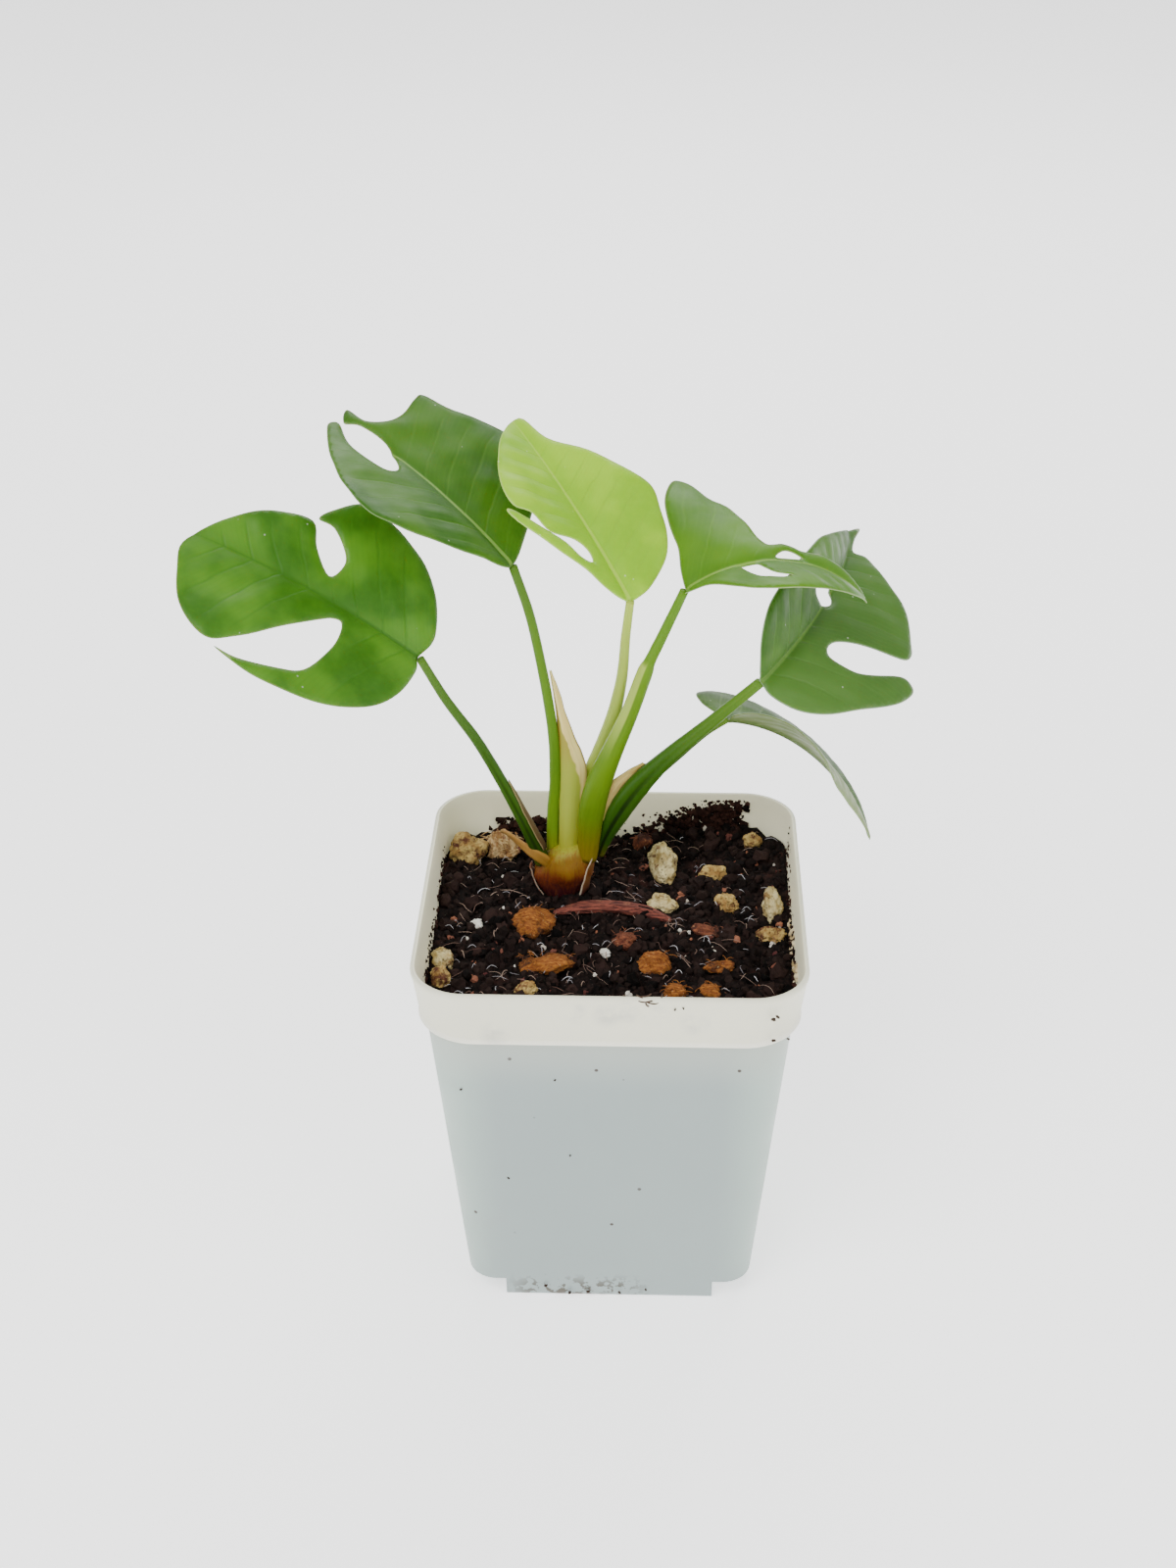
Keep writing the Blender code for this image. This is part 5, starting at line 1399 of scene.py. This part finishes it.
BLADES = (
    dict(
        name="blade_1", base=(-34.5, 6.0, 120.0), heading=(188, 42, -38), length=48, bend=28,
        fold=(10, 10), curl=(-6, -6), growth=(0, 0), twist=0, rib_step=5.2, quilt=0.10, ripple=0.5, seed=1.0,
        outline=(
            (0, 0), (-1, -3.5), (-0.5, -6.5), (2.5, -12), (8, -16.5), (15, -19), (21, -19.5), (25.5, -15.5),
            (27, -12.7), (24, -12.5), (20.5, -9.5), (19.5, -7), (21, -4), (25, -7.5), (27.7, -11.8),
            (33.5, -10.5), (38, -8), (42.5, -3.5), (46, 2.5), (44.5, 8.5), (42, 14), (38.5, 17.5), (34.5, 19),
            (31, 16.5), (25, 10.5), (19, 4.5), (17, 3), (15.5, 3), (15, 5.5), (15.5, 9.5), (18, 15.5),
            (22, 18), (29, 20), (33, 20), (27, 21.5), (21, 21.5), (14.5, 20.5), (9, 18), (4, 14), (1, 9),
            (-0.5, 3),
        ),
        holes=(),
        tones=dict(
            dark=(
                0.025, 0.105, 0.0015
            ), light=(0.07, 0.20, 0.009), vein=(0.03, 0.12, 0.004), rib=(0.03, 0.11, 0.006),
            under=(0.14, 0.26, 0.08), edge=(0.2, 0.32, 0.1),
        ),
        slot="dark_leaf",
    ),
    dict(
        name="blade_2", base=(-17.7, 10.0, 136.3), heading=(145, 36, 0), length=42, bend=22,
        fold=(16, 16), curl=(-6, -6), growth=(0, 0), twist=0, rib_step=5.0, quilt=0.12, ripple=0.5, seed=2.0,
        outline=(
            (0, 0), (2.5, -5), (8.5, -14), (
                14.5, -18.5
            ), (18.5, -20), (22.5, -19.5), (31, -16.5), (37, -15.3),
            (37.5, -13.5), (36.5, -9), (37, -5.5), (40, -2.8), (44.5, -3), (42.5, 0), (39.5, -1.3), (33, -1),
            (27, 2.5), (26.5, 6), (29, 7.5), (33, 7.5), (37.5, 5.5), (42.5, 1.5), (42.5, 4.5), (37.5, 10.5),
            (31, 16.5), (25.5, 20), (19.5, 21.5), (14.5, 19), (7, 10.5), (1, 3.5),
        ),
        holes=(),
        tones=dict(
            dark=(
                0.025, 0.095, 0.002
            ), light=(0.05, 0.14, 0.006), vein=(0.07, 0.17, 0.015), rib=(0.2, 0.35, 0.07),
            under=(0.15, 0.26, 0.09), edge=(0.2, 0.32, 0.12),
        ),
        slot="dark_leaf",
    ),
    dict(
        name="blade_3", base=(2.9, 6.0, 131.5), heading=(130, 42, 0), length=40, bend=15,
        fold=(16, 16), curl=(-6, -6), growth=(0, 0), twist=0, rib_step=4.2, quilt=0.18, ripple=0.6, seed=3.0,
        outline=(
            (0, 0), (0, -2), (1, -5), (4.5, -10), (8.5, -12.5), (13, -14), (17.5, -15), (22, -13), (29, -8.5),
            (35, -3.5), (41, -1.5), (38.5, 4), (34, 8.5), (28, 12.5), (22.5, 13.5), (20, 10.5), (16, 9),
            (13.5, 4.5), (11, 3), (8.7, 3.5), (10, 5.5), (13.5, 7), (18.5, 11.5), (21.7, 14.5), (20.5, 15.2),
            (12.5, 10), (6.5, 5.5), (1.5, 2.5),
        ),
        holes=(),
        tones=dict(
            dark=(
                0.19, 0.41, 0.002
            ), light=(0.29, 0.53, 0.01), vein=(0.20, 0.40, 0.01), rib=(0.36, 0.55, 0.05),
            under=(0.42, 0.56, 0.16), edge=(0.5, 0.65, 0.2),
        ),
        slot="pale_leaf",
    ),
    dict(
        name="blade_4", base=(12.4, 6.0, 133.7), heading=(18, 31, -2), length=38, bend=84,
        fold=(19, 15), curl=(16, -6), growth=(
            -32, -4
        ), twist=14, rib_step=5.0, quilt=0.12, ripple=0.35, seed=4.0,
        outline=(
            (0, 0), (-0.3, -1.3), (1.2, -2.7), (3.2, -4.2), (5, -6.8), (7.6, -10.9), (9.5, -13.2),
            (13.2, -14.8), (18, -14), (23, -11.8), (28, -9), (33, -5.5), (38, 0), (33, 3), (28, 4.2),
            (25, 3.6), (22.9, 3.4), (21.5, 4.1), (19.7, 4.7), (18, 4.4), (16.8, 4.6), (15.8, 7), (15.3, 10.5),
            (14.7, 14.5), (13.9, 19.5), (12.2, 23.5), (11.2, 26.8), (10, 28.3), (8.4, 27.6), (6.5, 24.1),
            (5, 20.3), (3.9, 15.4), (3.4, 12.3), (2.9, 8.8), (1.3, 4.3),
        ),
        holes=(
            (
                (10.6, -0.9), (12, -0.8), (13.4, -1), (14.1, -3.8), (15, -7.2), (17.2, -8.6), (15.2, -9.9),
                (13.3, -9.2), (11.7, -8), (11, -4.8),
            ),
            ((17.6, 1.0), (19.3, 2.6), (21, 2.5), (22.6, 1.2), (20, 0.8)),
        ),
        tones=dict(
            dark=(
                0.055, 0.16, 0.002
            ), light=(0.08, 0.205, 0.004), vein=(0.10, 0.24, 0.01), rib=(0.22, 0.38, 0.05),
            under=(0.3, 0.42, 0.18), edge=(0.35, 0.45, 0.2),
        ),
        slot="mid_leaf",
    ),
    dict(
        name="blade_5", base=(26.2, 4.0, 116.9), heading=(52, 16, 66), length=47, bend=33,
        fold=(22, 24), curl=(
            -13, -14
        ), growth=(0, 0), twist=-12, rib_step=5.0, quilt=0.12, ripple=0.4, seed=5.0,
        outline=(
            (0, 0), (0.5, 2.5), (2.5, 6.5), (5, 10), (8.5, 11.7), (14.5, 12.2), (23, 11.5), (31.5, 10),
            (38, 7.5), (46, 4), (55, 0), (58.5, -2.5), (52, -1.3), (46.5, -1.3), (47.3, -4), (46, -6.5),
            (42, -11), (38.5, -15), (35.5, -17), (32.5, -18.5), (30, -19.5), (27.5, -18.5), (24.5, -13),
            (21, -8), (18.5, -5.5), (16, -5.2), (15, -7), (
                16.5, -11.5
            ), (20, -15.5), (24.5, -20), (25, -22.5),
            (23.5, -23.6), (19, -22), (12, -17), (5.5, -12.5), (1.5, -8), (-0.5, -3),
        ),
        holes=(
            ((26.5, 7), (29, 7.5), (30, 5.5), (29.5, 1.5), (27.7, -0.5), (25.5, -1), (23.7, 1), (23.3, 4)),
        ),
        tones=dict(
            dark=(
                0.025, 0.085, 0.003
            ), light=(0.06, 0.15, 0.012), vein=(0.08, 0.18, 0.025), rib=(0.1, 0.2, 0.03),
            # right: painted light on the right half; the darker left half is painted shade
            under=(0.35, 0.48, 0.3), edge=(0.35, 0.48, 0.3), right=(0.055, 0.135, 0.018),
        ),
        slot="dark_leaf",
    ),
    dict(
        name="blade_6", base=(20.9, 15.0, 103.5), heading=(28.75, -17.85, -27.8), length=41.4, bend=62.7,
        fold=(24.9, 9.3), curl=(
            -6.6, -10.3
        ), growth=(-8.6, -26.1), twist=36, rib_step=4.2, quilt=0.10, ripple=0.25, seed=6.0,
        outline=(
            (0, 0), (-1, -3), (0.5, -7), (5, -11), (11, -13.7), (17, -14), (23, -12.3), (29, -9.5), (35, -6),
            (39.5, -3.6), (41.6, -2.6), (41.4, 0.4), (37, 3.2), (32, 5.4), (27, 7.2), (21, 9.8), (15, 13.2),
            (9.5, 15.8), (5, 16.3), (1.6, 14.3), (0, 10), (-0.8, 5),
        ),
        holes=(),
        tones=dict(
            dark=(
                0.03, 0.085, 0.003
            ), light=(0.06, 0.14, 0.008), vein=(0.14, 0.25, 0.05), rib=(0.2, 0.3, 0.08),
            under=(0.06, 0.13, 0.01), edge=(0.3, 0.4, 0.2), right=(0.20, 0.26, 0.10),
        ),
        slot="dark_leaf",
    ),
)


def make_leaves():
    for blade in BLADES:
        name = blade["name"]
        paint = leaf_paint(name + " skin", blade["rib_step"], **blade["tones"])
        make_leaf(name + "_leaf", blade, paint, blade["slot"], name)


# Stage


FLOOR_HALF = 3000
FLOOR_TOP = -0.02
FLOOR_FOOT = -30
WHITE = (1.0, 1.0, 1.0, 1.0)
WORLD_STRENGTH = 0.75
# Square lamps: name, place and size in metres, and power in watts
LAMPS = (
    ("key", (-0.35, -0.55, 0.85), 0.6, 9.0),
    ("fill", (0.7, -0.45, 0.5), 0.7, 3.5),
    ("back", (0.1, 0.7, 0.7), 0.6, 4.5),
)
LAMPS_AIM = (0, 0, 0.08)


def make_stage():
    glow = dict(Emission_Color=WHITE, Emission_Strength=1.3)
    paint = Paint("pale floor", roughness=0.8, specular=0.1, **glow)
    paint.colour(paint.mix(paint.noise(3.0, 2.0), (0.86, 0.86, 0.86), (0.9, 0.9, 0.9)))
    corners = [(x * FLOOR_HALF, y * FLOOR_HALF) for x, y in ((-1, -1), (1, -1), (1, 1), (-1, 1))]
    slab = loft([[(x, y, z) for x, y in corners] for z in (FLOOR_FOOT, FLOOR_TOP)])
    floor = mesh_object("floor", *slab, paint.material, False)
    world = bpy.data.worlds.new("studio")
    world.use_nodes = True
    background = world.node_tree.nodes["Background"].inputs
    background["Color"].default_value = WHITE
    background["Strength"].default_value = WORLD_STRENGTH
    bpy.context.scene.world = world
    for name, spot, size, power in LAMPS:
        lamp = bpy.data.lights.new(name, "AREA")
        lamp.shape = "SQUARE"
        lamp.size = size
        lamp.energy = power
        holder = link(bpy.data.objects.new(name, lamp))
        holder.location = spot
        holder.rotation_mode = "QUATERNION"
        holder.rotation_quaternion = (Vector(LAMPS_AIM) - Vector(spot)).to_track_quat("-Z", "Y")


def make_camera():
    elevation = math.radians(CAMERA_ELEVATION)
    forward = Vector((0.0, math.cos(elevation), -math.sin(elevation)))
    up = Vector((0.0, math.sin(elevation), math.cos(elevation)))
    right = Vector((1.0, 0.0, 0.0))
    spot = -CAMERA_DISTANCE * forward + CAMERA_SIDE * right + CAMERA_RISE * up
    turn = Matrix.Rotation(math.radians(-CAMERA_YAW), 4, "Z")
    basis = Matrix((right, up, -forward)).transposed().to_4x4()
    roll = Matrix.Rotation(math.radians(CAMERA_ROLL), 4, "Z")
    data = bpy.data.cameras.new("camera")
    data.lens = CAMERA_LENS
    data.sensor_width = 36.0
    data.clip_start = 0.01
    data.clip_end = 20.0
    camera = link(bpy.data.objects.new("camera", data))
    camera.matrix_world = turn @ Matrix.Translation(spot * MM) @ basis @ roll
    bpy.context.scene.camera = camera


make_pot()
make_soil()
make_lumps()
make_husk()
make_chips()
make_strip()
make_litter()
wall_dirt()
wall_grit()
rim_dirt()
make_crown()
make_stalks()
make_sheaths()
make_leaves()
make_stage()
make_camera()
